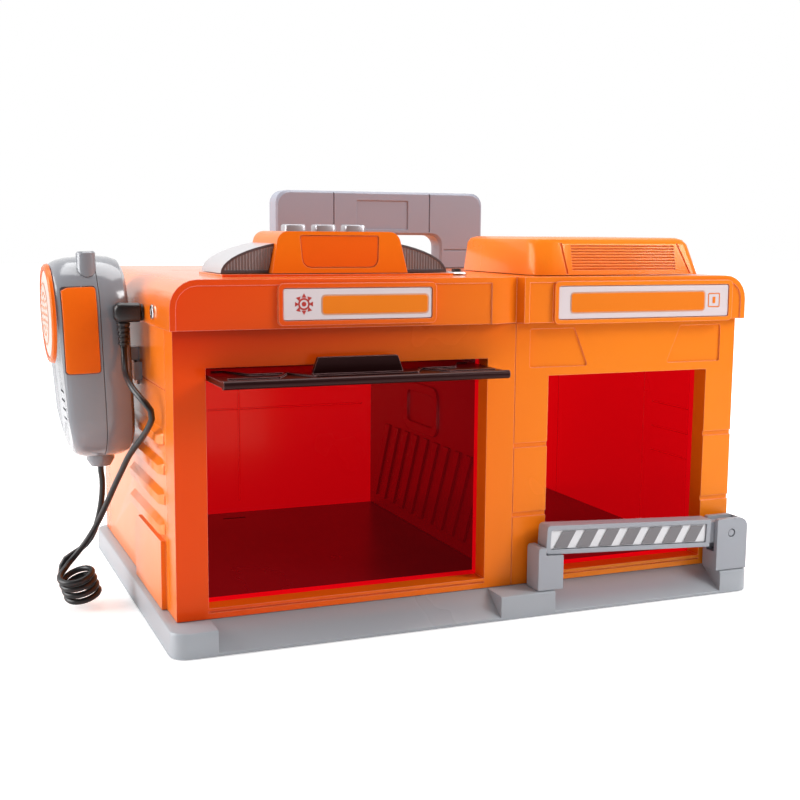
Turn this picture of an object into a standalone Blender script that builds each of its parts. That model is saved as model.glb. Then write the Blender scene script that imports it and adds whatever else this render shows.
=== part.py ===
"""Two-bay toy garage with a sound console, an up-and-over door, a gate arm and a wired handset."""

import math

import bmesh
import bpy
from mathutils import Matrix, Vector

MM = 0.001

# Running gap between pieces that touch, and the clearance round pieces that move
FIT = 0.3 * MM
RUNNING = 0.6 * MM

# Base tray
BASE_HEIGHT = 12 * MM
BASE_OVERHANG = 5.5 * MM
FRONT_APRON = 16 * MM
REAR_LEDGE = 5 * MM
BASE_CORNER = 8 * MM
BASE_EDGE = 1.5 * MM
BASE_WALL = 2.4 * MM
DECK = 2.5 * MM
FLOOR_RISE = 2.5 * MM
BOTTOM_PLATE = 2 * MM
RAMP_LIP = 1.3 * MM
RAMP_LEFT_BLOCK = 20.8 * MM
RAMP_RIGHT_BLOCK = 20 * MM
MIDDLE_BLOCK_WIDTH = 30 * MM
BASE_BOSS_RADIUS = 4 * MM
FLOOR_SLOT_LENGTH = 14 * MM
FLOOR_SLOT_WIDTH = 2.4 * MM

# House walls
HOUSE_WIDTH = 300 * MM
HOUSE_DEPTH = 198 * MM
HOUSE_HEIGHT = 155.2 * MM
WALL = 2.2 * MM
PORTAL_DEPTH = 17 * MM
REVEAL_DEPTH = 14 * MM
REAR_RETURN = 17 * MM
SEAM_X = 19.6 * MM
SILL_HEIGHT = 5.2 * MM
SERVICE_X = -65.4 * MM
SERVICE_OPENING_WIDTH = 139.6 * MM
SERVICE_OPENING_TOP = 127.6 * MM
PARKING_X = 85.5 * MM
PARKING_OPENING_WIDTH = 94.4 * MM
PARKING_OPENING_TOP = 117.9 * MM
GROOVE_DEPTH = 0.8 * MM
PILLAR_GROOVES = (48.3 * MM, 83.5 * MM)
PILLAR_GROOVE_WIDTH = 2.4 * MM
CORNER_PANEL_TOP = 141.4 * MM
CORNER_PANEL_HEIGHT = 19.2 * MM
CORNER_PANEL_WIDTH = 25 * MM
CORNER_PANEL_SLANT = 8 * MM
SLAT_COUNT = 4
SLAT_PITCH = 14.2 * MM
SLAT_HEIGHT = 7.5 * MM
SLAT_BOTTOM = 48 * MM
SLAT_PROUD = 2.5 * MM
SLAT_LENGTH = 82 * MM
LOW_PANEL_LENGTH = 65 * MM
LOW_PANEL_HEIGHT = 33 * MM
SIDE_GROOVE_Z = 116 * MM
INNER_GROOVE = 0.6 * MM
RIB_COUNT = 10
RIB_PITCH = 14.5 * MM
RIB_WIDTH = 7 * MM
RIB_PROUD = 1.2 * MM
RIB_BOTTOM = 22 * MM
RIB_TOP = 70 * MM
RIB_LEAN = 10 / 21
RING_LENGTH = 48 * MM
RING_HEIGHT = 28.3 * MM
RING_BAND = 5 * MM
RING_Y = 19.5 * MM
RING_Z = 86.8 * MM

# Roof
ROOF_SHELL = 1.7 * MM
ROOF_EDGE_RADIUS = 12.5 * MM
ROOF_PROW = 5 * MM
FASCIA_HEIGHT = 22.5 * MM
NOTCH_HALF_LEFT = 13.1 * MM
NOTCH_HALF_RIGHT = 1.8 * MM
NOTCH_DEPTH = 5.2 * MM
FASCIA_RIM = 2.8 * MM
FASCIA_RECESS = 0.7 * MM
PLINTH_HEIGHT = 1.3 * MM
PLINTH_FRONT = -78.5 * MM
PLINTH_DEPTH = 46.5 * MM
PLINTH_WIDTH = 117 * MM

# Sign boards on the fascia
SIGN_FRAME_PROUD = 2 * MM
SIGN_FRAME_BAND = 2.4 * MM
SIGN_THICKNESS = 1.2 * MM
SERVICE_SIGN_X = -64.6 * MM
SERVICE_SIGN_WIDTH = 72.4 * MM
SERVICE_SIGN_Z = 155.7 * MM
SERVICE_SIGN_HEIGHT = 14.1 * MM
PARKING_SIGN_X = 90.2 * MM
PARKING_SIGN_WIDTH = 100.5 * MM
PARKING_SIGN_Z = 154.4 * MM
PARKING_SIGN_HEIGHT = 16.1 * MM

# Sound console
CONSOLE_FRONT = -77 * MM
CONSOLE_DEPTH = 43.5 * MM
CONSOLE_HEIGHT = 19.5 * MM
CONSOLE_BOTTOM_WIDTH = 68 * MM
CONSOLE_TOP_WIDTH = 60 * MM
CONSOLE_SHOULDER = 5.5 * MM
CONSOLE_LEAN = 2.5 * MM
CONSOLE_WALL = 2 * MM
WINDOW_WIDTH = 39 * MM
WINDOW_HEIGHT = 14.5 * MM
WINDOW_DEPTH = 1.4 * MM
WINDOW_THICKNESS = 1 * MM
BUTTON_PITCH = 15.4 * MM
BUTTON_WIDTH = 10.7 * MM
BUTTON_DEPTH = 9.5 * MM
BUTTON_PROUD = 3.3 * MM
BUTTON_TRAVEL = 1.5 * MM
BUTTON_Y = -50.5 * MM
BUTTON_FLANGE = 1.2 * MM
BUTTON_STEM = 4 * MM
BOARD_THICKNESS = 1.6 * MM
BOARD_WIDTH = 54 * MM
BOARD_DEPTH = 27 * MM
PAD_THICKNESS = 1.4 * MM
PAD_DOME = 2.2 * MM

# Beacon lens
LENS_HALF_WIDTH = 57 * MM
LENS_HEIGHT = 16.6 * MM
LENS_FRONT = -71.5 * MM
LENS_DEPTH = 38 * MM
LENS_WALL = 1.6 * MM
LENS_RIM = 1.4 * MM
LENS_RIB_PITCH = 1.45 * MM
LENS_RIB_DEPTH = 0.6 * MM
LED_RADIUS = 2.5 * MM
LED_HEIGHT = 7 * MM
LED_X = 42.5 * MM

# Vent housing over the parking bay
VENT_LEFT = 33 * MM
VENT_RIGHT = 131 * MM
VENT_FRONT = -88 * MM
VENT_REAR = 0 * MM
VENT_HEIGHT = 18.8 * MM
VENT_SIDE_TAPER = 6 * MM
VENT_FRONT_LEAN = 4 * MM
VENT_REAR_LEAN = 3.5 * MM
VENT_CORNER = 10 * MM
VENT_EDGE = 3.5 * MM
VENT_WALL = 1.8 * MM
LOUVRE_COUNT = 9
LOUVRE_PITCH = 1.45 * MM
LOUVRE_WIDTH = 61.5 * MM
LOUVRE_HEIGHT = 0.7 * MM
LOUVRE_DEPTH = 0.9 * MM
LOUVRE_BOTTOM = 170 * MM
SPEAKER_RADIUS = 11.5 * MM
SPEAKER_HEIGHT = 8 * MM
CELL_RADIUS = 7 * MM
CELL_LENGTH = 49 * MM
CELL_NUB = 1.2 * MM
CELL_COUNT = 3
BATTERY_BOX_WALL = 1.4 * MM
BATTERY_X = 82 * MM
BATTERY_Y = -33 * MM
BATTERY_SPRING = 1.5 * MM
COVER_THICKNESS = 1.8 * MM
COVER_LIP = 1 * MM

# Carry handle
HANDLE_WIDTH = 127 * MM
HANDLE_THICKNESS = 14 * MM
HANDLE_HEIGHT = 43.4 * MM
HANDLE_Y = 43.5 * MM
HANDLE_CORNER = 7 * MM
HANDLE_OPENING_WIDTH = 73 * MM
HANDLE_OPENING_HEIGHT = 18.9 * MM
HANDLE_OPENING_CORNER = 6.5 * MM
HANDLE_TONGUE_WIDTH = 12 * MM
HANDLE_TONGUE_DEPTH = 6 * MM
HANDLE_TONGUE_LENGTH = 4 * MM
HANDLE_GROOVE = 0.7 * MM

# Power switch
SWITCH_GAP = 3.35 * MM
SWITCH_Y = -63 * MM
SWITCH_WIDTH = 7.5 * MM
SWITCH_LENGTH = 15 * MM
SWITCH_PLATE = 1.2 * MM
SWITCH_TRAVEL = 3 * MM
SWITCH_KNOB_WIDTH = 3.2 * MM
SWITCH_KNOB_LENGTH = 4 * MM
SWITCH_KNOB_PROUD = 1.5 * MM

# Sockets in the left skirt, and the plug
JACK_Y = -37.5 * MM
JACK_Z = 149.3 * MM
JACK_FLANGE_RADIUS = 4 * MM
JACK_BARREL_RADIUS = 3 * MM
JACK_BORE_RADIUS = 2 * MM
JACK_FLANGE = 0.8 * MM
JACK_LENGTH = 12 * MM
AUX_Y = -62 * MM
AUX_Z = 151 * MM
AUX_RADIUS = 3.5 * MM
PLUG_BODY_LENGTH = 12.4 * MM
PLUG_BODY_HEIGHT = 9.4 * MM
PLUG_BODY_WIDTH = 9 * MM
PLUG_TIP_RADIUS = 1.6 * MM
PLUG_TIP_LENGTH = 9 * MM
RELIEF_X = -161.4 * MM
RELIEF_LENGTH = 11.5 * MM
RELIEF_RADIUS = 3.3 * MM
RELIEF_RIBS = 5
CORD_RADIUS = 1.5 * MM

# Up-and-over door
DOOR_WIDTH = 136.8 * MM
DOOR_LENGTH = 102 * MM
DOOR_THICKNESS = 2.6 * MM
DOOR_BEAD_RADIUS = 2 * MM
DOOR_AXIS_Z = 122.8 * MM
DOOR_OPEN_Y = -18.5 * MM
DOOR_RUN = 52 * MM
DOOR_BARREL_RADIUS = 4 * MM
DOOR_ROD_RADIUS = 2 * MM
DOOR_ROLLER_RADIUS = 3 * MM
DOOR_ROLLER_LENGTH = 4 * MM
DOOR_LINE_PROUD = 0.8 * MM
DOOR_LINE_WIDTH = 1.6 * MM
DOOR_GRIP_WIDTH = 45 * MM
DOOR_GRIP_HEIGHT = 7.6 * MM
DOOR_GRIP_THICKNESS = 2.4 * MM
DOOR_GRIP_SLANT = 3 * MM
DOOR_GRIP_SETBACK = 21 * MM
TRACK_HEIGHT = 11 * MM
TRACK_DEPTH = 7 * MM
TRACK_WEB = 1.6 * MM

# Gate arm at the parking bay
POST_LEFT = 133.4 * MM
POST_WIDTH = 19 * MM
POST_FRONT = -108.5 * MM
POST_DEPTH = 12 * MM
POST_HEIGHT = 27.5 * MM
POST_ROUND = 5 * MM
POST_SLOT_FLOOR = 10 * MM
POST_CHEEK = 2.6 * MM
PIVOT_X = 142.5 * MM
PIVOT_Z = 32 * MM
PIN_RADIUS = 2 * MM
PIN_CLEARANCE = 0.1 * MM
ARM_REACH = 110.5 * MM
ARM_HEIGHT = 14.5 * MM
ARM_DEPTH = 9 * MM
ARM_NECK = 12.6 * MM
ARM_RIM = 2.3 * MM
ARM_RECESS = 2 * MM
ARM_BACK_CAVITY = 4.6 * MM
ARM_TILT = math.radians(2.8)
STRIPE_PLATE = 0.8 * MM
STRIPE_COUNT = 7
STRIPE_SHARE = 0.6
STRIPE_MARGIN = 1.8 * MM
STRIPE_LEAN = 4.5 * MM
STRIPE_PROUD = 0.4 * MM
REST_POST_WIDTH = 14 * MM

# Handset
HANDSET_Y = -5.5 * MM
HANDSET_WIDTH = 54 * MM
HANDSET_HEIGHT = 99.4 * MM
HANDSET_BOTTOM = 76.6 * MM
HANDSET_BACK_X = -154 * MM
HANDSET_BACK_DEPTH = 14.5 * MM
HANDSET_FRONT_DEPTH = 20 * MM
HANDSET_TOP_RADIUS = 26.4 * MM
HANDSET_LOW_RADIUS = 22 * MM
HANDSET_SHELL = 2.2 * MM
HANDSET_TILT = math.radians(2.0)
FACE_Z = 148.5 * MM
FACE_RING_RADIUS = 24.5 * MM
FACE_RING_BAND = 3 * MM
FACE_RING_PROUD = 2.2 * MM
DISC_PROUD = 2.8 * MM
GRIP_BOTTOM = 121 * MM
GRIP_HEIGHT = 41 * MM
GRIP_REAR_X = -170.2 * MM
GRIP_FRONT_X = -186 * MM
GRIP_PROUD = 0.8 * MM
GRIP_THICKNESS = 3.4 * MM
ANTENNA_RADIUS = 4.6 * MM
ANTENNA_Y = -22 * MM
ANTENNA_X = -172.5 * MM
ANTENNA_BOTTOM = 160 * MM
ANTENNA_TOP = 178.7 * MM
MIC_SLOT_COUNT = 4
MIC_SLOT_PITCH = 4.6 * MM
MIC_SLOT_LENGTH = 12 * MM
MIC_SLOT_WIDTH = 1.1 * MM
MIC_Z = 103 * MM
CAPSULE_RADIUS = 5 * MM
CAPSULE_LENGTH = 5 * MM
BOSS_X = -169 * MM
BOSS_RADIUS = 7 * MM
BOSS_TIP_RADIUS = 5 * MM
BOSS_LENGTH = 5.6 * MM
CLIP_Y = -13.5 * MM
CLIP_WIDTH = 9 * MM
CLIP_THICKNESS = 1.3 * MM
CLIP_TOP = 131 * MM
CLIP_TONGUE = 11.6 * MM
HOOK_TOP = 123.7 * MM
HOOK_HEIGHT = 9 * MM
HOOK_BAR = 1.2 * MM
HOOK_LEG = 2.5 * MM

# Screws
SCREW_HEAD_RADIUS = 2.6 * MM
SCREW_LENGTH = 8 * MM
SCREW_HOLE = 1.7 * MM
POST_RADIUS = 3.1 * MM
BOSS_WALL = 2.2 * MM

# Steps of an arc of a quarter turn, and of a turned piece
ARC_STEPS = 4
TURN_STEPS = 16

# Places that follow from the sizes above
BASE_WIDTH = HOUSE_WIDTH + 2 * BASE_OVERHANG
BASE_DEPTH = FRONT_APRON + HOUSE_DEPTH + REAR_LEDGE
BASE_FRONT = -BASE_DEPTH / 2
BASE_REAR = BASE_DEPTH / 2
HOUSE_HALF = HOUSE_WIDTH / 2
FRONT_Y = BASE_FRONT + FRONT_APRON
REAR_Y = FRONT_Y + HOUSE_DEPTH
ROOF_TOP = BASE_HEIGHT + HOUSE_HEIGHT
ROOF_UNDER = ROOF_TOP - ROOF_SHELL
ROOF_HALF = HOUSE_HALF + FIT + ROOF_SHELL
ROOF_FRONT = FRONT_Y - ROOF_PROW
ROOF_REAR = REAR_Y + FIT + ROOF_SHELL
SKIRT_BOTTOM = ROOF_TOP - FASCIA_HEIGHT
WALL_BOTTOM = BASE_HEIGHT + FIT
WALL_TOP = ROOF_TOP - ROOF_EDGE_RADIUS - RUNNING
FLOOR_TOP = BASE_HEIGHT + FLOOR_RISE
SILL_TOP = BASE_HEIGHT + SILL_HEIGHT
PORTAL_BACK = FRONT_Y + PORTAL_DEPTH
SIDE_WALL_FRONT = PORTAL_BACK + FIT
SIDE_WALL_REAR = REAR_Y - REAR_RETURN - FIT
SERVICE_LEFT = SERVICE_X - SERVICE_OPENING_WIDTH / 2
SERVICE_RIGHT = SERVICE_X + SERVICE_OPENING_WIDTH / 2
PARKING_LEFT = PARKING_X - PARKING_OPENING_WIDTH / 2
PARKING_RIGHT = PARKING_X + PARKING_OPENING_WIDTH / 2
MIDDLE_BLOCK_LEFT = (SERVICE_RIGHT + PARKING_LEFT - MIDDLE_BLOCK_WIDTH) / 2
MIDDLE_BLOCK_RIGHT = MIDDLE_BLOCK_LEFT + MIDDLE_BLOCK_WIDTH
PARTITION_LEFT = SEAM_X - WALL / 2
PARTITION_RIGHT = SEAM_X + WALL / 2
PLINTH_TOP = ROOF_TOP + PLINTH_HEIGHT
ON_ROOF = ROOF_TOP + FIT
ON_PLINTH = PLINTH_TOP + FIT
CONSOLE_TOP = ON_PLINTH + CONSOLE_HEIGHT
VENT_TOP = ON_ROOF + VENT_HEIGHT
FASCIA_FACE = ROOF_FRONT + FASCIA_RECESS
SWITCH_X = SERVICE_X + PLINTH_WIDTH / 2 + SWITCH_GAP + SWITCH_WIDTH / 2
PIVOT_Y = POST_FRONT + POST_DEPTH / 2
STRIPE_PLATE_LENGTH = ARM_REACH - ARM_NECK - 2 * (ARM_RIM + FIT)
STRIPE_PITCH = (STRIPE_PLATE_LENGTH - 2 * STRIPE_MARGIN - STRIPE_LEAN) / (STRIPE_COUNT - 1 + STRIPE_SHARE)
STRIPE_WIDTH = STRIPE_SHARE * STRIPE_PITCH
PLUG_MOUTH_X = -ROOF_HALF - JACK_FLANGE - FIT
RELIEF_TOP = JACK_Z - PLUG_BODY_HEIGHT / 2 - FIT
RELIEF_BOTTOM = RELIEF_TOP - RELIEF_LENGTH
CLIP_BOTTOM = HOOK_TOP - CLIP_TONGUE
HANDSET_SEAM_X = HANDSET_BACK_X - HANDSET_BACK_DEPTH
HANDSET_FACE_X = HANDSET_SEAM_X - HANDSET_FRONT_DEPTH

for old in list(bpy.data.objects):
    bpy.data.objects.remove(old, do_unlink=True)


def outline(corners, steps=ARC_STEPS):
    """A closed polygon of (u, v) or (u, v, radius) corners, whose rounded corners become arcs."""
    points = []
    for index, corner in enumerate(corners):
        here = Vector(corner[:2])
        radius = corner[2] if len(corner) > 2 else 0.0
        if radius <= 0:
            points.append(here)
            continue
        before = (Vector(corners[index - 1][:2]) - here).normalized()
        after = (Vector(corners[(index + 1) % len(corners)][:2]) - here).normalized()
        half = before.angle(after) / 2
        reach = radius / math.tan(half)
        centre = here + (before + after).normalized() * (radius / math.sin(half))
        start = here + before * reach - centre
        end = here + after * reach - centre
        turn = math.atan2(start.cross(end), start.dot(end))
        points += [centre + start @ Matrix.Rotation(-turn * k / steps, 2) for k in range(steps + 1)]
    return points


def rectangle(u_low, v_low, u_high, v_high, radius=0.0, steps=ARC_STEPS):
    """A rectangle's outline, with all of its corners rounded alike."""
    corners = ((u_low, v_low), (u_high, v_low), (u_high, v_high), (u_low, v_high))
    return outline([corner + (radius,) for corner in corners], steps)


def circle(u, v, radius, steps=TURN_STEPS):
    """A circle's outline."""
    angles = [2 * math.pi * k / steps for k in range(steps)]
    return [Vector((u + radius * math.cos(a), v + radius * math.sin(a))) for a in angles]


def placed(axis, u, v, along):
    """A point from its place in a section and its place along the axis across that section."""
    if axis == "X":
        return Vector((along, u, v))
    if axis == "Y":
        return Vector((u, along, v))
    return Vector((u, v, along))


def lofted(rings):
    """A closed body through rings of equally many points, with flat ends."""
    body = bmesh.new()
    rows = [[body.verts.new(point) for point in ring] for ring in rings]
    for low, high in zip(rows, rows[1:]):
        for k in range(len(low)):
            body.faces.new((low[k - 1], low[k], high[k], high[k - 1]))
    body.faces.new(rows[0])
    body.faces.new(rows[-1])
    bmesh.ops.recalc_face_normals(body, faces=body.faces)
    return body


def prism(points, axis, low, high):
    """An outline drawn out along an axis."""
    return lofted([[placed(axis, p[0], p[1], along) for p in points] for along in (low, high)])


def block(low, high):
    """A plain rectangular body between two corners."""
    return prism(rectangle(low[0], low[1], high[0], high[1]), "Z", low[2], high[2])


def turned(profile, axis, u, v, steps=TURN_STEPS):
    """A body of revolution from (radius, along) pairs; it has flat ends."""
    angles = [2 * math.pi * k / steps for k in range(steps)]
    rings = []
    for radius, along in profile:
        ring = [placed(axis, u + radius * math.cos(a), v + radius * math.sin(a), along) for a in angles]
        rings.append(ring)
    return lofted(rings)


def sleeve(profile, axis, u, v, steps=TURN_STEPS):
    """A hollow body of revolution, whose closed profile never touches the axis."""
    body = bmesh.new()
    angles = [2 * math.pi * k / steps for k in range(steps)]
    rows = []
    for radius, along in profile:
        ring = [placed(axis, u + radius * math.cos(a), v + radius * math.sin(a), along) for a in angles]
        rows.append([body.verts.new(point) for point in ring])
    for index, row in enumerate(rows):
        last = rows[index - 1]
        for k in range(steps):
            body.faces.new((last[k - 1], last[k], row[k], row[k - 1]))
    bmesh.ops.recalc_face_normals(body, faces=body.faces)
    return body


def together(bodies):
    """Several separate bodies in one mesh."""
    whole = bmesh.new()
    for body in bodies:
        mesh = bpy.data.meshes.new("scrap")
        body.to_mesh(mesh)
        whole.from_mesh(mesh)
        bpy.data.meshes.remove(mesh)
        body.free()
    return whole


def turned_about(body, pivot, angle, axis="Y"):
    """A body swung about an axis through a point."""
    swing = Matrix.Translation(pivot) @ Matrix.Rotation(angle, 4, axis) @ Matrix.Translation(-pivot)
    bmesh.ops.transform(body, matrix=swing, verts=body.verts)
    return body


def material(name, colour, roughness, metallic=0.0, transmission=0.0):
    """One plain finish."""
    finish = bpy.data.materials.new(name)
    finish.use_nodes = True
    shader = finish.node_tree.nodes["Principled BSDF"]
    shader.inputs["Base Color"].default_value = (*colour, 1.0)
    shader.inputs["Roughness"].default_value = roughness
    shader.inputs["Metallic"].default_value = metallic
    shader.inputs["Transmission Weight"].default_value = transmission
    return finish


ORANGE = (0.90, 0.22, 0.02)
GREY = (0.42, 0.44, 0.47)
DARK_GREY = (0.24, 0.24, 0.26)
PALE_GREY = (0.58, 0.61, 0.66)
WHITE = (0.85, 0.84, 0.84)
BLACK = (0.02, 0.02, 0.02)
STEEL = (0.62, 0.62, 0.62)


def part(name, body, colour, roughness=0.35, metallic=0.0, transmission=0.0, sharp=32):
    """One named sub-part with its own material."""
    mesh = bpy.data.meshes.new(name)
    body.to_mesh(mesh)
    body.free()
    mesh.shade_smooth()
    mesh.set_sharp_from_angle(angle=math.radians(sharp))
    mesh.materials.append(material(name + "_finish", colour, roughness, metallic, transmission))
    thing = bpy.data.objects.new(name, mesh)
    bpy.context.scene.collection.objects.link(thing)
    return thing


def tool(thing, body, operation):
    """A Boolean on a sub-part, whose hidden operand keeps the sub-part's name."""
    mesh = bpy.data.meshes.new(thing.name + "_tool")
    body.to_mesh(mesh)
    body.free()
    operand = bpy.data.objects.new(thing.name + "_tool", mesh)
    bpy.context.scene.collection.objects.link(operand)
    operand.hide_render = True
    operand.display_type = "WIRE"
    change = thing.modifiers.new(operation.title(), "BOOLEAN")
    change.operation = operation
    change.solver = "EXACT"
    change.object = operand
    return operand


def cut(thing, *bodies):
    """Takes bodies away from a sub-part, one after the other."""
    for body in bodies:
        tool(thing, body, "DIFFERENCE")


def join(thing, *bodies):
    """Adds bodies that overlap a sub-part to it."""
    for body in bodies:
        tool(thing, body, "UNION")


def keep(thing, body):
    """Keeps only what lies inside a body."""
    tool(thing, body, "INTERSECT")


def pivoted(thing, point):
    """Moves a sub-part's origin onto its joint's axis, with its shape left in place."""
    thing.data.transform(Matrix.Translation(-point))
    thing.location = point


def ramp_cutter(left, right):
    """What is cut from the apron in front of a bay, so that a wheel can roll up."""
    over = BASE_HEIGHT + 1 * MM
    slope = (BASE_HEIGHT - RAMP_LIP) / FRONT_APRON
    nose = BASE_FRONT - 1 * MM
    corners = (
        (nose, RAMP_LIP - slope * 1 * MM),
        (FRONT_Y, BASE_HEIGHT),
        (FRONT_Y, over),
        (nose, over),
    )
    return prism(outline(corners), "X", left, right)


def base_boss_places():
    """Where the bottom plate is screwed to the tray."""
    side = HOUSE_HALF - 12 * MM
    rows = (FRONT_Y + 24 * MM, 0.0, REAR_Y - 14 * MM)
    return [(x, y) for x in (-side, 0.0, side) for y in rows if x or y]


def base_tray():
    """The moulded tray that the house stands on, hollow underneath."""
    half = BASE_WIDTH / 2
    rings = []
    for inset, height in ((0, 0), (0, BASE_HEIGHT - BASE_EDGE),
                          (0.3 * BASE_EDGE, BASE_HEIGHT - 0.3 * BASE_EDGE),
                          (BASE_EDGE, BASE_HEIGHT)):
        ring = rectangle(-half + inset, BASE_FRONT + inset, half - inset, BASE_REAR - inset,
                         BASE_CORNER - inset)
        rings.append([placed("Z", p[0], p[1], height) for p in ring])
    tray = part("base_tray", lofted(rings), GREY, 0.4)
    inner = HOUSE_HALF - WALL - FIT
    floor = prism(rectangle(-inner, SIDE_WALL_FRONT, inner, REAR_Y - WALL - FIT, 1 * MM), "Z",
                  BASE_HEIGHT - 1 * MM, FLOOR_TOP)
    join(tray, floor)
    under = rectangle(-half + BASE_WALL, FRONT_Y + BASE_WALL, half - BASE_WALL, BASE_REAR - BASE_WALL,
                      BASE_CORNER - BASE_WALL)
    cut(tray, prism(under, "Z", -1 * MM, BASE_HEIGHT - DECK))
    for x, y in base_boss_places():
        boss = prism(circle(x, y, BASE_BOSS_RADIUS, 12), "Z", BOTTOM_PLATE + FIT,
                     BASE_HEIGHT - DECK + 0.5 * MM)
        join(tray, boss)
    holes = [prism(circle(x, y, SCREW_HOLE, 8), "Z", 0, SCREW_LENGTH + FIT) for x, y in base_boss_places()]
    cut(tray, together(holes))
    left = -half + RAMP_LEFT_BLOCK
    right = half - RAMP_RIGHT_BLOCK
    cut(tray, ramp_cutter(left, MIDDLE_BLOCK_LEFT), ramp_cutter(MIDDLE_BLOCK_RIGHT, right))
    slot_y = REAR_Y - 17.5 * MM
    slot_x = SERVICE_X - 10.6 * MM
    slot = rectangle(slot_x - FLOOR_SLOT_LENGTH / 2, slot_y - FLOOR_SLOT_WIDTH / 2,
                     slot_x + FLOOR_SLOT_LENGTH / 2, slot_y + FLOOR_SLOT_WIDTH / 2)
    cut(tray, prism(slot, "Z", FLOOR_TOP - GROOVE_DEPTH, FLOOR_TOP + 1 * MM))


def base_bottom_plate():
    """The flat plate that closes the tray's underside, and on which the toy stands."""
    half = BASE_WIDTH / 2 - BASE_WALL - FIT
    front = FRONT_Y + BASE_WALL + FIT
    rear = BASE_REAR - BASE_WALL - FIT
    plate = rectangle(-half, front, half, rear, BASE_CORNER - BASE_WALL - FIT)
    bottom = part("base_bottom_plate", prism(plate, "Z", 0, BOTTOM_PLATE), DARK_GREY, 0.5)
    sunk = [turned(((SCREW_HEAD_RADIUS + FIT, -1 * MM), (SCREW_HEAD_RADIUS + FIT, FIT),
                    (SCREW_HOLE, 1.4 * MM), (SCREW_HOLE, BOTTOM_PLATE + 1 * MM)), "Z", x, y, 12)
            for x, y in base_boss_places()]
    cut(bottom, together(sunk))


def screw_lug_places():
    """The roof's four corner screws."""
    side = HOUSE_HALF - 12 * MM
    return [(x, y) for x in (-side, side) for y in (FRONT_Y + 8.5 * MM, REAR_Y - 10 * MM)]


def front_wall(name, left, right, opening):
    """One bay's hollow portal, moulded as pillars, header and sill in one piece."""
    gate_left, gate_right, gate_top = opening
    shell = part(name, prism(rectangle(left, WALL_BOTTOM, right, WALL_TOP), "Y", FRONT_Y, PORTAL_BACK),
                 ORANGE)
    cut(shell, prism(rectangle(gate_left, SILL_TOP, gate_right, gate_top), "Y", FRONT_Y - 1 * MM,
                     PORTAL_BACK + 1 * MM))
    below = WALL_BOTTOM - 1 * MM
    cavity = (
        (left + WALL, below), (gate_left - WALL, below), (gate_left - WALL, gate_top + WALL),
        (gate_right + WALL, gate_top + WALL), (gate_right + WALL, below), (right - WALL, below),
        (right - WALL, WALL_TOP - WALL), (left + WALL, WALL_TOP - WALL),
    )
    cut(shell, prism(outline(cavity), "Y", FRONT_Y + WALL, PORTAL_BACK + 1 * MM))
    reveal = rectangle(gate_left - WALL - 1 * MM, SILL_TOP, gate_right + WALL + 1 * MM,
                       gate_top + WALL + 1 * MM)
    cut(shell, prism(reveal, "Y", FRONT_Y + REVEAL_DEPTH, PORTAL_BACK + 1 * MM))
    sill_line = rectangle(FRONT_Y - 1 * MM, SILL_TOP - 2.2 * MM, FRONT_Y + GROOVE_DEPTH, SILL_TOP - 1.4 * MM)
    cut(shell, prism(sill_line, "X", gate_left, gate_right))
    notch = rectangle(SEAM_X - NOTCH_HALF_LEFT - 3 * MM, SKIRT_BOTTOM - FIT,
                      SEAM_X + NOTCH_HALF_RIGHT + 3 * MM,
                      WALL_TOP + 1 * MM)
    cut(shell, prism(notch, "Y", FRONT_Y - 1 * MM, ROOF_FRONT + NOTCH_DEPTH + ROOF_SHELL + FIT))
    holes = [prism(circle(x, y, SCREW_HOLE, 8), "Z", WALL_TOP - WALL - 1 * MM, WALL_TOP + 1 * MM)
             for x, y in screw_lug_places() if left < x < right and y < 0]
    cut(shell, together(holes))
    return shell


def front_wall_service():
    """The portal of the service bay."""
    opening = (SERVICE_LEFT, SERVICE_RIGHT, SERVICE_OPENING_TOP)
    front_wall("front_wall_service", -HOUSE_HALF, SEAM_X - FIT / 2, opening)


def front_wall_parking():
    """The portal of the parking bay, with grooved pillars and two sunk corner panels."""
    left = SEAM_X + FIT / 2
    shell = front_wall("front_wall_parking", left, HOUSE_HALF,
                       (PARKING_LEFT, PARKING_RIGHT, PARKING_OPENING_TOP))
    for z in PILLAR_GROOVES:
        low = z - PILLAR_GROOVE_WIDTH / 2
        high = z + PILLAR_GROOVE_WIDTH / 2
        front = FRONT_Y - 1 * MM
        back = FRONT_Y + GROOVE_DEPTH
        cut(shell, block((left - 1 * MM, front, low), (PARKING_LEFT + 1 * MM, back, high)))
        cut(shell, block((PARKING_RIGHT - 1 * MM, front, low), (HOUSE_HALF + 1 * MM, back, high)))
    for edge, way in ((left + 7.8 * MM, 1), (HOUSE_HALF - 9.3 * MM, -1)):
        low = CORNER_PANEL_TOP - CORNER_PANEL_HEIGHT
        panel = outline((
            (edge, low, 1 * MM),
            (edge + way * (CORNER_PANEL_WIDTH + CORNER_PANEL_SLANT), low, 1 * MM),
            (edge + way * CORNER_PANEL_WIDTH, CORNER_PANEL_TOP, 1 * MM),
            (edge, CORNER_PANEL_TOP, 1 * MM),
        ), 3)
        cut(shell, prism(panel, "Y", FRONT_Y - 1 * MM, FRONT_Y + GROOVE_DEPTH))


def slat(side, bottom):
    """One raised slat of a side wall, with a sloping top and slanted ends."""
    face = side * HOUSE_HALF
    root = face - side * 0.6 * MM
    crest = face + side * SLAT_PROUD
    front = SIDE_WALL_FRONT + 4 * MM
    rear = front + SLAT_LENGTH
    slant = 4 * MM
    rings = []
    for y, reach in ((front, 0.0), (front + slant, 1.0), (rear - slant, 1.0), (rear, 0.0)):
        proud = root + (crest - root) * max(reach, 0.3)
        section = ((root, bottom), (proud, bottom), (proud, bottom + SLAT_HEIGHT - SLAT_PROUD * 1.4),
                   (root, bottom + SLAT_HEIGHT))
        rings.append([placed("Y", u, v, y) for u, v in section])
    return lofted(rings)


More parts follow.
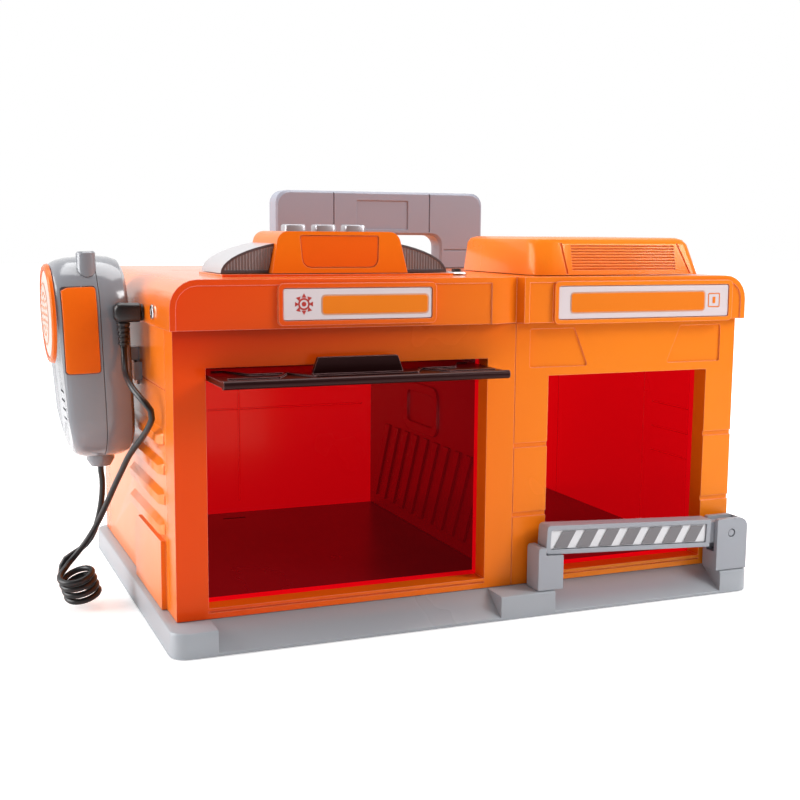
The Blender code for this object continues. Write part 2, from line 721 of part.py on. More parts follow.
def side_wall(name, side):
    """A side wall with its four slats and lower panel outside, and matching lines inside."""
    outer = side * HOUSE_HALF
    inner = side * (HOUSE_HALF - WALL)
    sheet = rectangle(min(outer, inner), SIDE_WALL_FRONT, max(outer, inner), SIDE_WALL_REAR)
    wall = part(name, prism(sheet, "Z", WALL_BOTTOM, WALL_TOP), ORANGE)
    for k in range(SLAT_COUNT):
        join(wall, slat(side, SLAT_BOTTOM + k * SLAT_PITCH))
    front = SIDE_WALL_FRONT + 4 * MM
    panel = outline((
        (front, WALL_BOTTOM), (front + LOW_PANEL_LENGTH, WALL_BOTTOM),
        (front + LOW_PANEL_LENGTH, WALL_BOTTOM + LOW_PANEL_HEIGHT - 6 * MM),
        (front + LOW_PANEL_LENGTH - 8 * MM, WALL_BOTTOM + LOW_PANEL_HEIGHT),
        (front, WALL_BOTTOM + LOW_PANEL_HEIGHT),
    ))
    reach = sorted((inner + side * 1 * MM, outer + side * SLAT_PROUD))
    join(wall, prism(panel, "X", reach[0], reach[1]))
    line = 0.8 * MM
    sunk = sorted((outer - side * INNER_GROOVE, outer + side * 1 * MM))
    cut(wall, block((sunk[0], SIDE_WALL_FRONT - 1 * MM, SIDE_GROOVE_Z), (sunk[1], 0, SIDE_GROOVE_Z + line)))
    inside = sorted((inner + side * INNER_GROOVE, inner - side * 1 * MM))
    lines = [block((inside[0], front + 10 * MM, z), (inside[1], front + 49 * MM, z + line))
             for z in (SLAT_BOTTOM + SLAT_PITCH * (k + 1) for k in range(SLAT_COUNT - 1))]
    lines.append(block((inside[0], front + 57.5 * MM, WALL_BOTTOM + 5 * MM),
                       (inside[1], front + 57.5 * MM + line, SIDE_GROOVE_Z)))
    cut(wall, together(lines))
    return wall


def socket_hole(y, z, radius, thing):
    """A round hole for a socket through the left side."""
    cut(thing,
        prism(circle(y, z, radius + FIT, TURN_STEPS), "X", -ROOF_HALF - 1 * MM, -HOUSE_HALF + WALL + 1 * MM))


def left_wall():
    """The side wall that carries the handset's hook and the two sockets."""
    wall = side_wall("left_wall", -1)
    socket_hole(JACK_Y, JACK_Z, JACK_BARREL_RADIUS, wall)
    socket_hole(AUX_Y, AUX_Z, AUX_RADIUS - 0.8 * MM, wall)
    for leg in hook_legs(FIT):
        cut(wall, leg)
    beside = CLIP_WIDTH / 2 + RUNNING
    cut(wall, block((-HOUSE_HALF - SLAT_PROUD - 1 * MM, CLIP_Y - beside, CLIP_BOTTOM - RUNNING),
                    (-HOUSE_HALF, CLIP_Y + beside, SLAT_BOTTOM + SLAT_COUNT * SLAT_PITCH)))


def hook_legs(grow):
    """The two legs of the handset's hook, that pass through the left wall."""
    inner = CLIP_WIDTH / 2 + RUNNING
    through = 1 * MM if grow > 0 else 0.0
    legs = []
    for side in (-1, 1):
        edges = sorted((CLIP_Y + side * (inner - grow), CLIP_Y + side * (inner + HOOK_LEG + grow)))
        legs.append(block((hook_bar_x() - HOOK_BAR - through, edges[0], HOOK_TOP - HOOK_HEIGHT - grow),
                          (-HOUSE_HALF + WALL + through, edges[1], HOOK_TOP + grow)))
    return legs


def hook_bar_x():
    """The wall side of the hook's cross bar, just outside the clip's tongue."""
    return clip_tongue_x() - CLIP_THICKNESS - RUNNING


def clip_tongue_x():
    """The wall side of the handset clip's tongue."""
    return -HOUSE_HALF - RUNNING


def right_wall():
    """The side wall of the parking bay."""
    side_wall("right_wall", 1)


def rear_wall():
    """The rear wall, whose ends return forward round the corners."""
    back = REAR_Y - WALL
    front = REAR_Y - REAR_RETURN
    channel = (
        (-HOUSE_HALF, front), (-HOUSE_HALF + WALL, front), (-HOUSE_HALF + WALL, back),
        (HOUSE_HALF - WALL, back), (HOUSE_HALF - WALL, front), (HOUSE_HALF, front),
        (HOUSE_HALF, REAR_Y, 2 * MM), (-HOUSE_HALF, REAR_Y, 2 * MM),
    )
    wall = part("rear_wall", prism(outline(channel), "Z", WALL_BOTTOM, WALL_TOP), ORANGE)
    lugs = []
    holes = []
    for x, y in screw_lug_places():
        if y > 0:
            lugs.append(block((x - 6 * MM, y - 5 * MM, WALL_TOP - WALL),
                              (x + 6 * MM, back + 1 * MM, WALL_TOP)))
            holes.append(prism(circle(x, y, SCREW_HOLE, 8), "Z", WALL_TOP - WALL - 1 * MM,
                               WALL_TOP + 1 * MM))
    join(wall, together(lugs))
    cut(wall, together(holes))
    line = 0.8 * MM
    sunk = back + INNER_GROOVE
    cut(wall,
        block((-HOUSE_HALF + 6 * MM, back - 1 * MM, 79 * MM),
              (PARTITION_LEFT - 6 * MM, sunk, 79 * MM + line)))
    cut(wall,
        block((SERVICE_X - 3.6 * MM, back - 1 * MM, 22 * MM), (SERVICE_X - 3.6 * MM + line, sunk, 146 * MM)))


def partition_wall():
    """The wall between the bays, with slanting ribs and a rounded ring on its service side."""
    rear = REAR_Y - WALL - FIT
    sheet = rectangle(PARTITION_LEFT, SIDE_WALL_FRONT, PARTITION_RIGHT, rear)
    wall = part("partition_wall", prism(sheet, "Z", FLOOR_TOP + FIT, WALL_TOP), ORANGE)
    ribs = []
    for k in range(RIB_COUNT):
        low = rear - 6 * MM - RIB_WIDTH - k * RIB_PITCH
        lean = (RIB_TOP - RIB_BOTTOM) * RIB_LEAN
        rib = outline((
            (low, RIB_BOTTOM), (low + RIB_WIDTH, RIB_BOTTOM),
            (low + RIB_WIDTH - lean, RIB_TOP), (low - lean, RIB_TOP),
        ))
        ribs.append(prism(rib, "X", PARTITION_LEFT - RIB_PROUD, PARTITION_LEFT + 1 * MM))
    join(wall, together(ribs))
    half = RING_LENGTH / 2
    tall = RING_HEIGHT / 2
    outer = rectangle(RING_Y - half, RING_Z - tall, RING_Y + half, RING_Z + tall, 7 * MM)
    inner = rectangle(RING_Y - half + RING_BAND, RING_Z - tall + RING_BAND, RING_Y + half - RING_BAND,
                      RING_Z + tall - RING_BAND, 3 * MM)
    rings = [[placed("X", p[0], p[1], x) for p in loop] for loop, x in (
        (outer, PARTITION_LEFT + 1 * MM), (outer, PARTITION_LEFT - RIB_PROUD),
        (inner, PARTITION_LEFT - RIB_PROUD), (inner, PARTITION_LEFT + 1 * MM))]
    body = lofted(rings + rings[:1])
    caps = [face for face in body.faces if len(face.verts) > 4]
    bmesh.ops.delete(body, geom=caps, context="FACES")
    bmesh.ops.remove_doubles(body, verts=body.verts, dist=0.00001)
    bmesh.ops.recalc_face_normals(body, faces=body.faces)
    join(wall, body)


def roof_section(inset):
    """The roof's cross-section, rounded at its two upper edges."""
    half = ROOF_HALF - inset
    round_off = ROOF_EDGE_RADIUS - inset
    bottom = SKIRT_BOTTOM - (1 * MM if inset else 0)
    return outline((
        (-half, bottom), (half, bottom), (half, ROOF_TOP - inset, round_off),
        (-half, ROOF_TOP - inset, round_off),
    ), 6)


def roof_notch(grow):
    """The V that parts the two fascias, seen from above."""
    front = ROOF_FRONT - 1 * MM
    slope_left = NOTCH_HALF_LEFT / NOTCH_DEPTH
    slope_right = NOTCH_HALF_RIGHT / NOTCH_DEPTH
    tip = ROOF_FRONT + NOTCH_DEPTH + grow
    spread = tip - front
    return outline((
        (SEAM_X - slope_left * spread - grow, front), (SEAM_X + slope_right * spread + grow, front),
        (SEAM_X + grow, tip), (SEAM_X - grow, tip),
    ))


def sign_frame(x, z, width, height):
    """The raised border that holds a sign board on the fascia."""
    band = SIGN_FRAME_BAND
    outer = rectangle(x - width / 2 - band, z - height / 2 - band, x + width / 2 + band,
                      z + height / 2 + band,
                      2.4 * MM)
    return prism(outer, "Y", FASCIA_FACE - SIGN_FRAME_PROUD, FASCIA_FACE + 0.8 * MM)


def sign_pocket(x, z, width, height):
    """The pocket inside a sign's border."""
    inner = rectangle(x - width / 2 - FIT, z - height / 2 - FIT, x + width / 2 + FIT, z + height / 2 + FIT,
                      1.2 * MM)
    return prism(inner, "Y", FASCIA_FACE - SIGN_FRAME_PROUD - 1 * MM, FASCIA_FACE)


SIGNS = {
    "sign_board_service": (SERVICE_SIGN_X, SERVICE_SIGN_Z, SERVICE_SIGN_WIDTH, SERVICE_SIGN_HEIGHT),
    "sign_board_parking": (PARKING_SIGN_X, PARKING_SIGN_Z, PARKING_SIGN_WIDTH, PARKING_SIGN_HEIGHT),
}


def fascia_recess(left, right, left_round, right_round):
    """The slightly sunk face inside a fascia's rim."""
    top = ROOF_TOP - FASCIA_RIM
    low = SKIRT_BOTTOM - 1 * MM
    face = outline(((left, low), (right, low), (right, top, right_round), (left, top, left_round)), 5)
    return prism(face, "Y", ROOF_FRONT - 1 * MM, FASCIA_FACE)


def tower_places():
    """The roof's inner bosses: console, vent housing and handle are screwed on from below."""
    console = [(SERVICE_X + side * 26 * MM, CONSOLE_FRONT + CONSOLE_DEPTH - 7 * MM) for side in (-1, 1)]
    vent = [(VENT_LEFT + 9 * MM, VENT_REAR - 9 * MM), (VENT_RIGHT - 15 * MM, VENT_REAR - 9 * MM)]
    return console + vent


def roof_shell():
    """The roof: one moulding with two fascias, a plinth and the sockets' skirt."""
    roof = part("roof_shell", prism(roof_section(0), "Y", ROOF_FRONT, ROOF_REAR), ORANGE)
    hollow = part("roof_hollow", prism(roof_section(ROOF_SHELL), "Y", ROOF_FRONT + ROOF_SHELL,
                                       ROOF_REAR - ROOF_SHELL), ORANGE)
    hollow.hide_render = True
    hollow.display_type = "WIRE"
    cut(hollow, prism(roof_notch(ROOF_SHELL), "Z", SKIRT_BOTTOM - 2 * MM, ROOF_TOP + 1 * MM))
    change = roof.modifiers.new("Hollow", "BOOLEAN")
    change.operation = "DIFFERENCE"
    change.object = hollow
    cut(roof, prism(roof_notch(0), "Z", SKIRT_BOTTOM - 2 * MM, ROOF_TOP + 2 * MM))
    rim_round = ROOF_EDGE_RADIUS - FASCIA_RIM
    cut(roof, fascia_recess(-ROOF_HALF + FASCIA_RIM, SEAM_X - NOTCH_HALF_LEFT - FASCIA_RIM, rim_round, 0))
    cut(roof, fascia_recess(SEAM_X + NOTCH_HALF_RIGHT + FASCIA_RIM, ROOF_HALF - FASCIA_RIM, 0, rim_round))
    for x, z, width, height in SIGNS.values():
        join(roof, sign_frame(x, z, width, height))
        cut(roof, sign_pocket(x, z, width, height))
    plinth_half = PLINTH_WIDTH / 2
    plinth = rectangle(SERVICE_X - plinth_half, PLINTH_FRONT, SERVICE_X + plinth_half,
                       PLINTH_FRONT + PLINTH_DEPTH,
                       3 * MM)
    join(roof, prism(plinth, "Z", ROOF_UNDER + 0.5 * MM, PLINTH_TOP))
    bosses = [prism(circle(x, y, SCREW_HOLE + BOSS_WALL, 12), "Z", WALL_TOP + FIT, ROOF_UNDER + 0.5 * MM)
              for x, y in screw_lug_places()]
    join(roof, together(bosses))
    holes = [prism(circle(x, y, SCREW_HOLE, 8), "Z", WALL_TOP, WALL_TOP + SCREW_LENGTH) for x,
             y in screw_lug_places()]
    holes += [prism(circle(x, y, SCREW_HOLE, 8), "Z", ROOF_UNDER - 1 * MM, PLINTH_TOP + 1 * MM)
              for x, y in tower_places()]
    holes += [prism(p, "Z", ROOF_UNDER - 1 * MM, PLINTH_TOP + 1 * MM) for p in handle_tongues(FIT)]
    wires = rectangle(SERVICE_X - 8 * MM, CONSOLE_FRONT + 6 * MM, SERVICE_X + 8 * MM,
                      CONSOLE_FRONT + 12 * MM)
    holes.append(prism(wires, "Z", ROOF_UNDER - 1 * MM, PLINTH_TOP + 1 * MM))
    pocket = rectangle(SWITCH_X - SWITCH_WIDTH / 2 + 1.2 * MM, SWITCH_Y - SWITCH_LENGTH / 2 + 1.2 * MM,
                       SWITCH_X + SWITCH_WIDTH / 2 - 1.2 * MM, SWITCH_Y + SWITCH_LENGTH / 2 - 1.2 * MM)
    holes.append(prism(pocket, "Z", ROOF_UNDER - 1 * MM, ROOF_TOP + 1 * MM))
    cut(roof, together(holes))
    socket_hole(JACK_Y, JACK_Z, JACK_BARREL_RADIUS, roof)
    socket_hole(AUX_Y, AUX_Z, AUX_RADIUS - 0.8 * MM, roof)
    seam_y = SIDE_WALL_FRONT + 61.7 * MM
    cut(roof, block((-ROOF_HALF - 1 * MM, seam_y, SKIRT_BOTTOM - 1 * MM),
                    (-ROOF_HALF + 0.5 * MM, seam_y + 0.6 * MM, ROOF_TOP - ROOF_EDGE_RADIUS)))
    cut(roof, block((-125 * MM, 22.4 * MM, ROOF_TOP - 0.6 * MM), (-105 * MM, 23.8 * MM, ROOF_TOP + 1 * MM)))


def sign_boards():
    """The two pale boards that clip into the borders on the fascia."""
    for name, (x, z, width, height) in SIGNS.items():
        face = rectangle(x - width / 2, z - height / 2, x + width / 2, z + height / 2, 1 * MM)
        back = FASCIA_FACE - FIT
        part(name, prism(face, "Y", back - SIGN_THICKNESS, back), WHITE, 0.3)


def console_body(grow, top, below=0.0):
    """The console's tapered block, grown or shrunk all round, and run on below its foot."""
    flare = (CONSOLE_BOTTOM_WIDTH - CONSOLE_TOP_WIDTH) / 2 / CONSOLE_HEIGHT
    low = CONSOLE_BOTTOM_WIDTH / 2 + grow + flare * below
    high = CONSOLE_BOTTOM_WIDTH / 2 + grow - flare * (top - ON_PLINTH)
    base = ON_PLINTH
    section = outline((
        (SERVICE_X - low, base - below), (SERVICE_X + low, base - below),
        (SERVICE_X + high, top, CONSOLE_SHOULDER + grow), (SERVICE_X - high, top, CONSOLE_SHOULDER + grow),
    ), 5)
    body = prism(section, "Y", CONSOLE_FRONT - grow, CONSOLE_FRONT + CONSOLE_DEPTH + grow)
    for vertex in body.verts:
        if vertex.co.y < CONSOLE_FRONT + CONSOLE_DEPTH / 2:
            vertex.co.y += CONSOLE_LEAN * (vertex.co.z - base) / CONSOLE_HEIGHT
    return body


def button_places():
    """The centres of the three buttons."""
    return [SERVICE_X + k * BUTTON_PITCH for k in (-1, 0, 1)]


def button_outline(x, grow):
    """A button's plan, grown by a clearance."""
    return rectangle(x - BUTTON_WIDTH / 2 - grow, BUTTON_Y - BUTTON_DEPTH / 2 - grow,
                     x + BUTTON_WIDTH / 2 + grow, BUTTON_Y + BUTTON_DEPTH / 2 + grow, 1.8 * MM + grow, 3)


def console_housing():
    """The console's shell, with a window in front and three holes on top."""
    shell = part("console_housing", console_body(0, CONSOLE_TOP), ORANGE)
    cut(shell, console_body(-CONSOLE_WALL, CONSOLE_TOP - CONSOLE_WALL, 1 * MM))
    posts = [prism(circle(x, y, POST_RADIUS, 10), "Z", ON_PLINTH, CONSOLE_TOP - 0.5 * CONSOLE_WALL)
             for x, y in tower_places()[:2]]
    join(shell, together(posts))
    holes = [prism(circle(x, y, SCREW_HOLE, 8), "Z", ON_PLINTH - 1 * MM, ON_PLINTH + SCREW_LENGTH)
             for x, y in tower_places()[:2]]
    holes += [prism(button_outline(x, RUNNING / 2), "Z", CONSOLE_TOP - CONSOLE_WALL - 1 * MM,
                    CONSOLE_TOP + 1 * MM)
              for x in button_places()]
    cut(shell, together(holes))
    cut(shell, window_body(FIT, WINDOW_DEPTH))


def window_body(grow, depth):
    """The console window's plate or its pocket, which follows the leaning front."""
    low = CONSOLE_TOP - 2.2 * MM - WINDOW_HEIGHT
    half = WINDOW_WIDTH / 2 + grow
    face = outline((
        (SERVICE_X - half + 1 * MM, low - grow, 4 * MM), (SERVICE_X + half - 1 * MM, low - grow, 4 * MM),
        (SERVICE_X + half, CONSOLE_TOP - 2.2 * MM + grow, 1 * MM),
        (SERVICE_X - half, CONSOLE_TOP - 2.2 * MM + grow, 1 * MM),
    ), 3)
    front = CONSOLE_FRONT - (3 * MM if grow > 0 else -(depth - WINDOW_THICKNESS))
    body = prism(face, "Y", front, CONSOLE_FRONT + depth - (0 if grow > 0 else FIT))
    for vertex in body.verts:
        vertex.co.y += CONSOLE_LEAN * (vertex.co.z - ON_PLINTH) / CONSOLE_HEIGHT
    return body


def console_panel():
    """The plate that lies in the console's window."""
    part("console_panel", window_body(0, WINDOW_DEPTH), ORANGE, 0.25)


def board_top():
    """The top face of the sound board, which lies on the plinth."""
    return ON_PLINTH + BOARD_THICKNESS


def sound_board():
    """The sound board under the console, notched round the two screw posts."""
    rear = tower_places()[0][1] - POST_RADIUS - FIT
    plate = rectangle(SERVICE_X - BOARD_WIDTH / 2, rear - BOARD_DEPTH, SERVICE_X + BOARD_WIDTH / 2, rear,
                      1 * MM)
    board = part("sound_board", prism(plate, "Z", ON_PLINTH, board_top()), (0.05, 0.25, 0.1), 0.5)
    chip = rectangle(SERVICE_X - 21 * MM, rear - 24 * MM, SERVICE_X - 13 * MM, rear - 18 * MM)
    join(board, prism(chip, "Z", board_top() - 0.5 * MM, board_top() + 1.2 * MM))


def button_rubber_pad():
    """The rubber mat whose three domes close the contacts."""
    half = BUTTON_PITCH * 1.5
    low = board_top() + FIT
    mat = rectangle(SERVICE_X - half, BUTTON_Y - 6 * MM, SERVICE_X + half, BUTTON_Y + 6 * MM, 1.5 * MM)
    pad = part("button_rubber_pad", prism(mat, "Z", low, low + PAD_THICKNESS), DARK_GREY, 0.8)
    domes = [turned(((4.2 * MM, low + 0.5 * MM), (4.2 * MM, low + PAD_THICKNESS + 0.2 * MM),
                     (3.2 * MM, low + PAD_THICKNESS + PAD_DOME)), "Z", x, BUTTON_Y,
                    12) for x in button_places()]
    join(pad, together(domes))


def console_buttons():
    """The three push buttons, each with a flange that keeps it under the console's top."""
    foot = board_top() + FIT + PAD_THICKNESS + PAD_DOME + FIT + BUTTON_TRAVEL
    ceiling = CONSOLE_TOP - CONSOLE_WALL - FIT
    for name, x in zip(("left", "middle", "right"), button_places()):
        top = CONSOLE_TOP + BUTTON_PROUD
        levels = ((0, ceiling - BUTTON_FLANGE / 2), (0, top - 0.9 * MM), (0.3 * MM, top - 0.3 * MM),
                  (1 * MM, top))
        rings = [[placed("Z", p[0], p[1], z) for p in button_outline(x, -inset)] for inset, z in levels]
        cap = part("console_button_" + name, lofted(rings), STEEL, 0.25, 0.8)
        join(cap, prism(button_outline(x, 1.4 * MM), "Z", ceiling - BUTTON_FLANGE, ceiling))
        join(cap, prism(circle(x, BUTTON_Y, BUTTON_STEM / 2, 12), "Z", foot, ceiling - BUTTON_FLANGE / 2))
        pivoted(cap, Vector((x, BUTTON_Y, CONSOLE_TOP)))


def lens_barrel(inset, front, rear):
    """The half-ellipse barrel of the beacon."""
    steps = 28
    wide = LENS_HALF_WIDTH - inset
    tall = LENS_HEIGHT - inset
    arch = []
    for k in range(steps + 1):
        angle = math.pi * k / steps
        arch.append(Vector((SERVICE_X + wide * math.cos(angle), ON_PLINTH + tall * math.sin(angle))))
    if inset:
        arch[0].y -= 1 * MM
        arch[-1].y -= 1 * MM
    return prism(arch, "Y", front, rear)


def lens_comb(side):
    """The row of grooves that ribs the front of one lens, kept inside its smooth rim."""
    inner = CONSOLE_TOP_WIDTH / 2 - 4 * MM
    outer = LENS_HALF_WIDTH
    count = int((outer - inner) / LENS_RIB_PITCH)
    teeth = [(SERVICE_X + side * inner, LENS_FRONT - 1 * MM)]
    for k in range(count):
        near = inner + k * LENS_RIB_PITCH
        teeth.append((SERVICE_X + side * near, LENS_FRONT))
        teeth.append((SERVICE_X + side * (near + LENS_RIB_PITCH / 2), LENS_FRONT + LENS_RIB_DEPTH))
    teeth.append((SERVICE_X + side * (inner + count * LENS_RIB_PITCH), LENS_FRONT))
    teeth.append((SERVICE_X + side * (inner + count * LENS_RIB_PITCH), LENS_FRONT - 1 * MM))
    return prism([Vector(t) for t in teeth], "Z", ON_PLINTH + LENS_RIM, ON_PLINTH + LENS_HEIGHT)


def beacon_lenses():
    """The smoky lens on either side of the console, ribbed in front and hollow inside."""
    rear = LENS_FRONT + LENS_DEPTH
    for name, side in (("left", -1), ("right", 1)):
        lens = part("beacon_lens_" + name, lens_barrel(0, LENS_FRONT, rear), PALE_GREY, 0.15, 0.0, 0.6)
        cut(lens, lens_barrel(LENS_WALL, LENS_FRONT + LENS_WALL, rear - LENS_WALL))
        comb = part("beacon_comb_" + name, lens_comb(side), PALE_GREY)
        comb.hide_render = True
        comb.display_type = "WIRE"
        keep(comb, lens_barrel(LENS_RIM, LENS_FRONT - 2 * MM, LENS_FRONT + 2 * MM))
        change = lens.modifiers.new("Ribs", "BOOLEAN")
        change.operation = "DIFFERENCE"
        change.object = comb
        far = SERVICE_X - side * (LENS_HALF_WIDTH + 2 * MM)
        edges = sorted((SERVICE_X, far))
        cut(lens, block((edges[0], LENS_FRONT - 3 * MM, ON_PLINTH - 3 * MM),
                        (edges[1], rear + 3 * MM, ON_PLINTH + LENS_HEIGHT + 3 * MM)))
        around = console_body(FIT, CONSOLE_TOP + FIT, 2 * MM)
        for vertex in around.verts:
            vertex.co.y += (-6 * MM if vertex.co.y < BUTTON_Y else 6 * MM)
        cut(lens, around)


def beacon_leds():
    """Two light-emitting diodes under the lenses."""
    for name, side in (("left", -1), ("right", 1)):
        lamp = turned((
            (LED_RADIUS + 0.4 * MM, ON_PLINTH), (LED_RADIUS + 0.4 * MM, ON_PLINTH + 1 * MM),
            (LED_RADIUS, ON_PLINTH + 1.1 * MM), (LED_RADIUS, ON_PLINTH + LED_HEIGHT - 2 * MM),
            (0.8 * LED_RADIUS, ON_PLINTH + LED_HEIGHT - 0.8 * MM),
            (0.3 * LED_RADIUS, ON_PLINTH + LED_HEIGHT),
        ), "Z", SERVICE_X + side * LED_X, LENS_FRONT + LENS_DEPTH / 2, 12)
        part("beacon_led_" + name, lamp, (0.9, 0.1, 0.05), 0.2)


def vent_rings(inset, bottom, top):
    """The vent housing's tapered sections from its foot to its rounded top edge."""
    rings = []
    for shrink, height in ((0, bottom), (0, top - VENT_EDGE), (0.3 * VENT_EDGE, top - 0.3 * VENT_EDGE),
                           (VENT_EDGE, top)):
        share = (height - ON_ROOF) / VENT_HEIGHT
        plan = outline((
            (VENT_LEFT + inset + shrink + 1 * MM * share,
             VENT_FRONT + inset + shrink + VENT_FRONT_LEAN * share,
             VENT_CORNER - inset),
            (VENT_RIGHT - inset - shrink - VENT_SIDE_TAPER * share,
             VENT_FRONT + inset + shrink + VENT_FRONT_LEAN * share, 5 * MM - inset),
            (VENT_RIGHT - inset - shrink - VENT_SIDE_TAPER * share,
             VENT_REAR - inset - shrink - VENT_REAR_LEAN * share, 5 * MM - inset),
            (VENT_LEFT + inset + shrink + 1 * MM * share,
             VENT_REAR - inset - shrink - VENT_REAR_LEAN * share,
             5 * MM - inset),
        ), 4)
        rings.append([placed("Z", p[0], p[1], height) for p in plan])
    return lofted(rings)


def louvre_centre():
    """The middle of the louvre panel across the vent's front."""
    return (VENT_LEFT + VENT_RIGHT) / 2 + 2.7 * MM


def vent_face_y(z):
    """Where the vent's leaning front stands at a height."""
    return VENT_FRONT + VENT_FRONT_LEAN * (z - ON_ROOF) / VENT_HEIGHT


def battery_edges(grow):
    """The plan of the bay that holds the cells, grown to its box or its cover."""
    half_x = CELL_LENGTH / 2 + CELL_NUB + BATTERY_SPRING + grow
    half_y = CELL_COUNT * CELL_RADIUS + (CELL_COUNT + 1) * FIT / 2 + grow
    return (BATTERY_X - half_x, BATTERY_Y - half_y, BATTERY_X + half_x, BATTERY_Y + half_y)


def cover_edges(grow):
    """The battery cover's plan on the vent housing's top."""
    return battery_edges(BATTERY_BOX_WALL + COVER_LIP + grow)


def vent_housing():
    """The raised housing over the parking bay, with louvres in front and a battery hatch on top."""
    shell = part("vent_housing", vent_rings(0, ON_ROOF, VENT_TOP), ORANGE)
    cut(shell, vent_rings(VENT_WALL, ON_ROOF - 1 * MM, VENT_TOP - VENT_WALL))
    half = LOUVRE_WIDTH / 2
    grooves = []
    for k in range(LOUVRE_COUNT):
        z = LOUVRE_BOTTOM + k * LOUVRE_PITCH
        face = vent_face_y(z)
        grooves.append(block((louvre_centre() - half, face - 2 * MM, z),
                             (louvre_centre() + half, face + LOUVRE_DEPTH, z + LOUVRE_HEIGHT)))
    cut(shell, together(grooves))
    for side, foot, head in ((-1, 3.5 * MM, 6 * MM), (1, 8 * MM, 1.5 * MM)):
        low = louvre_centre() + side * (half + foot)
        high = louvre_centre() + side * (half + head)
        line = prism(outline(((low, ON_ROOF + 0.6 * MM), (low + 1 * MM, ON_ROOF + 0.6 * MM),
                              (high + 1 * MM, VENT_TOP - 3 * MM), (high, VENT_TOP - 3 * MM))), "Y",
                     VENT_FRONT - 2 * MM, VENT_FRONT + GROOVE_DEPTH)
        for vertex in line.verts:
            vertex.co.y += vent_face_y(vertex.co.z) - VENT_FRONT
        cut(shell, line)
    left, front, right, rear = cover_edges(FIT)
    cut(shell, prism(rectangle(left, front, right, rear, 2 * MM), "Z", VENT_TOP - VENT_WALL - 1 * MM,
                     VENT_TOP + 1 * MM))
    posts = [prism(circle(x, y, POST_RADIUS, 10), "Z", ON_ROOF, VENT_TOP - 0.5 * VENT_WALL)
             for x, y in tower_places()[2:]]
    join(shell, together(posts))
    holes = [prism(circle(x, y, SCREW_HOLE, 8), "Z", ON_ROOF - 1 * MM, ON_ROOF + SCREW_LENGTH)
             for x, y in tower_places()[2:]]
    cut(shell, together(holes))


def battery_box_rim():
    """The top edge of the battery box, which carries the cover."""
    return VENT_TOP - COVER_THICKNESS - FIT


def battery_box():
    """The open tray that holds the cells and meets the hatch."""
    outer = rectangle(*battery_edges(BATTERY_BOX_WALL), 1.5 * MM)
    box = part("battery_box", prism(outer, "Z", ON_ROOF, battery_box_rim()), BLACK, 0.5)
    cut(box,
        prism(rectangle(*battery_edges(0)), "Z", ON_ROOF + BATTERY_BOX_WALL, battery_box_rim() + 1 * MM))


def cell_rows():
    """The cells' centre lines across the battery box."""
    pitch = 2 * CELL_RADIUS + FIT
    return [BATTERY_Y + (k - (CELL_COUNT - 1) / 2) * pitch for k in range(CELL_COUNT)]


def batteries():
    """Three AA-size cells, side by side, every second one turned round."""
    height = ON_ROOF + BATTERY_BOX_WALL + FIT + CELL_RADIUS
    for index, y in enumerate(cell_rows()):
        way = 1 if index % 2 == 0 else -1
        start = BATTERY_X - way * CELL_LENGTH / 2
        profile = (
            (CELL_RADIUS - 0.5 * MM, start), (CELL_RADIUS, start + way * 0.5 * MM),
            (CELL_RADIUS, start + way * (CELL_LENGTH - 0.5 * MM)),
            (CELL_RADIUS - 0.5 * MM, start + way * CELL_LENGTH),
            (2.6 * MM, start + way * CELL_LENGTH), (2.6 * MM, start + way * (CELL_LENGTH + CELL_NUB)),
        )
        part("battery_" + str(index + 1), turned(profile, "X", y, height, 20), (0.35, 0.3, 0.1), 0.3, 0.5)


def battery_cover():
    """The hatch over the cells, with a grip line and one captive screw's well."""
    left, front, right, rear = cover_edges(0)
    plate = part("battery_cover", prism(rectangle(left, front, right, rear, 1.8 * MM), "Z",
                                        VENT_TOP - COVER_THICKNESS, VENT_TOP), ORANGE)
    rows = [block((BATTERY_X - 7 * MM, front + COVER_LIP + k * 1.6 * MM, VENT_TOP - 0.5 * MM),
                  (BATTERY_X + 7 * MM, front + COVER_LIP + 0.8 * MM + k * 1.6 * MM, VENT_TOP + 1 * MM))
            for k in range(4)]
    well = prism(circle(BATTERY_X, rear - 5 * MM, SCREW_HEAD_RADIUS, 12), "Z", VENT_TOP - 0.9 * MM,
                 VENT_TOP + 1 * MM)
    cut(plate, together(rows + [well]))


def loudspeaker():
    """The loudspeaker on the roof behind the louvres, with its cone facing up."""
    x = louvre_centre()
    y = VENT_FRONT + VENT_FRONT_LEAN + VENT_WALL + SPEAKER_RADIUS + 1 * MM
    top = ON_ROOF + SPEAKER_HEIGHT
    profile = (
        (SPEAKER_RADIUS * 0.55, ON_ROOF), (SPEAKER_RADIUS * 0.55, ON_ROOF + 3.5 * MM),
        (SPEAKER_RADIUS * 0.9, top - 1.6 * MM), (SPEAKER_RADIUS, top - 1.6 * MM), (SPEAKER_RADIUS, top),
        (SPEAKER_RADIUS * 0.86, top), (SPEAKER_RADIUS * 0.3, top - 2.6 * MM),
    )
    part("loudspeaker", turned(profile, "Z", x, y, 20), BLACK, 0.6)


def handle_tongues(grow):
    """The plans of the two tongues that hold the handle in the roof."""
    leg = (HANDLE_WIDTH + HANDLE_OPENING_WIDTH) / 4
    half_x = HANDLE_TONGUE_WIDTH / 2 + grow
    half_y = HANDLE_TONGUE_DEPTH / 2 + grow
    return [rectangle(side * leg - half_x, HANDLE_Y - half_y, side * leg + half_x, HANDLE_Y + half_y)
            for side in (-1, 1)]


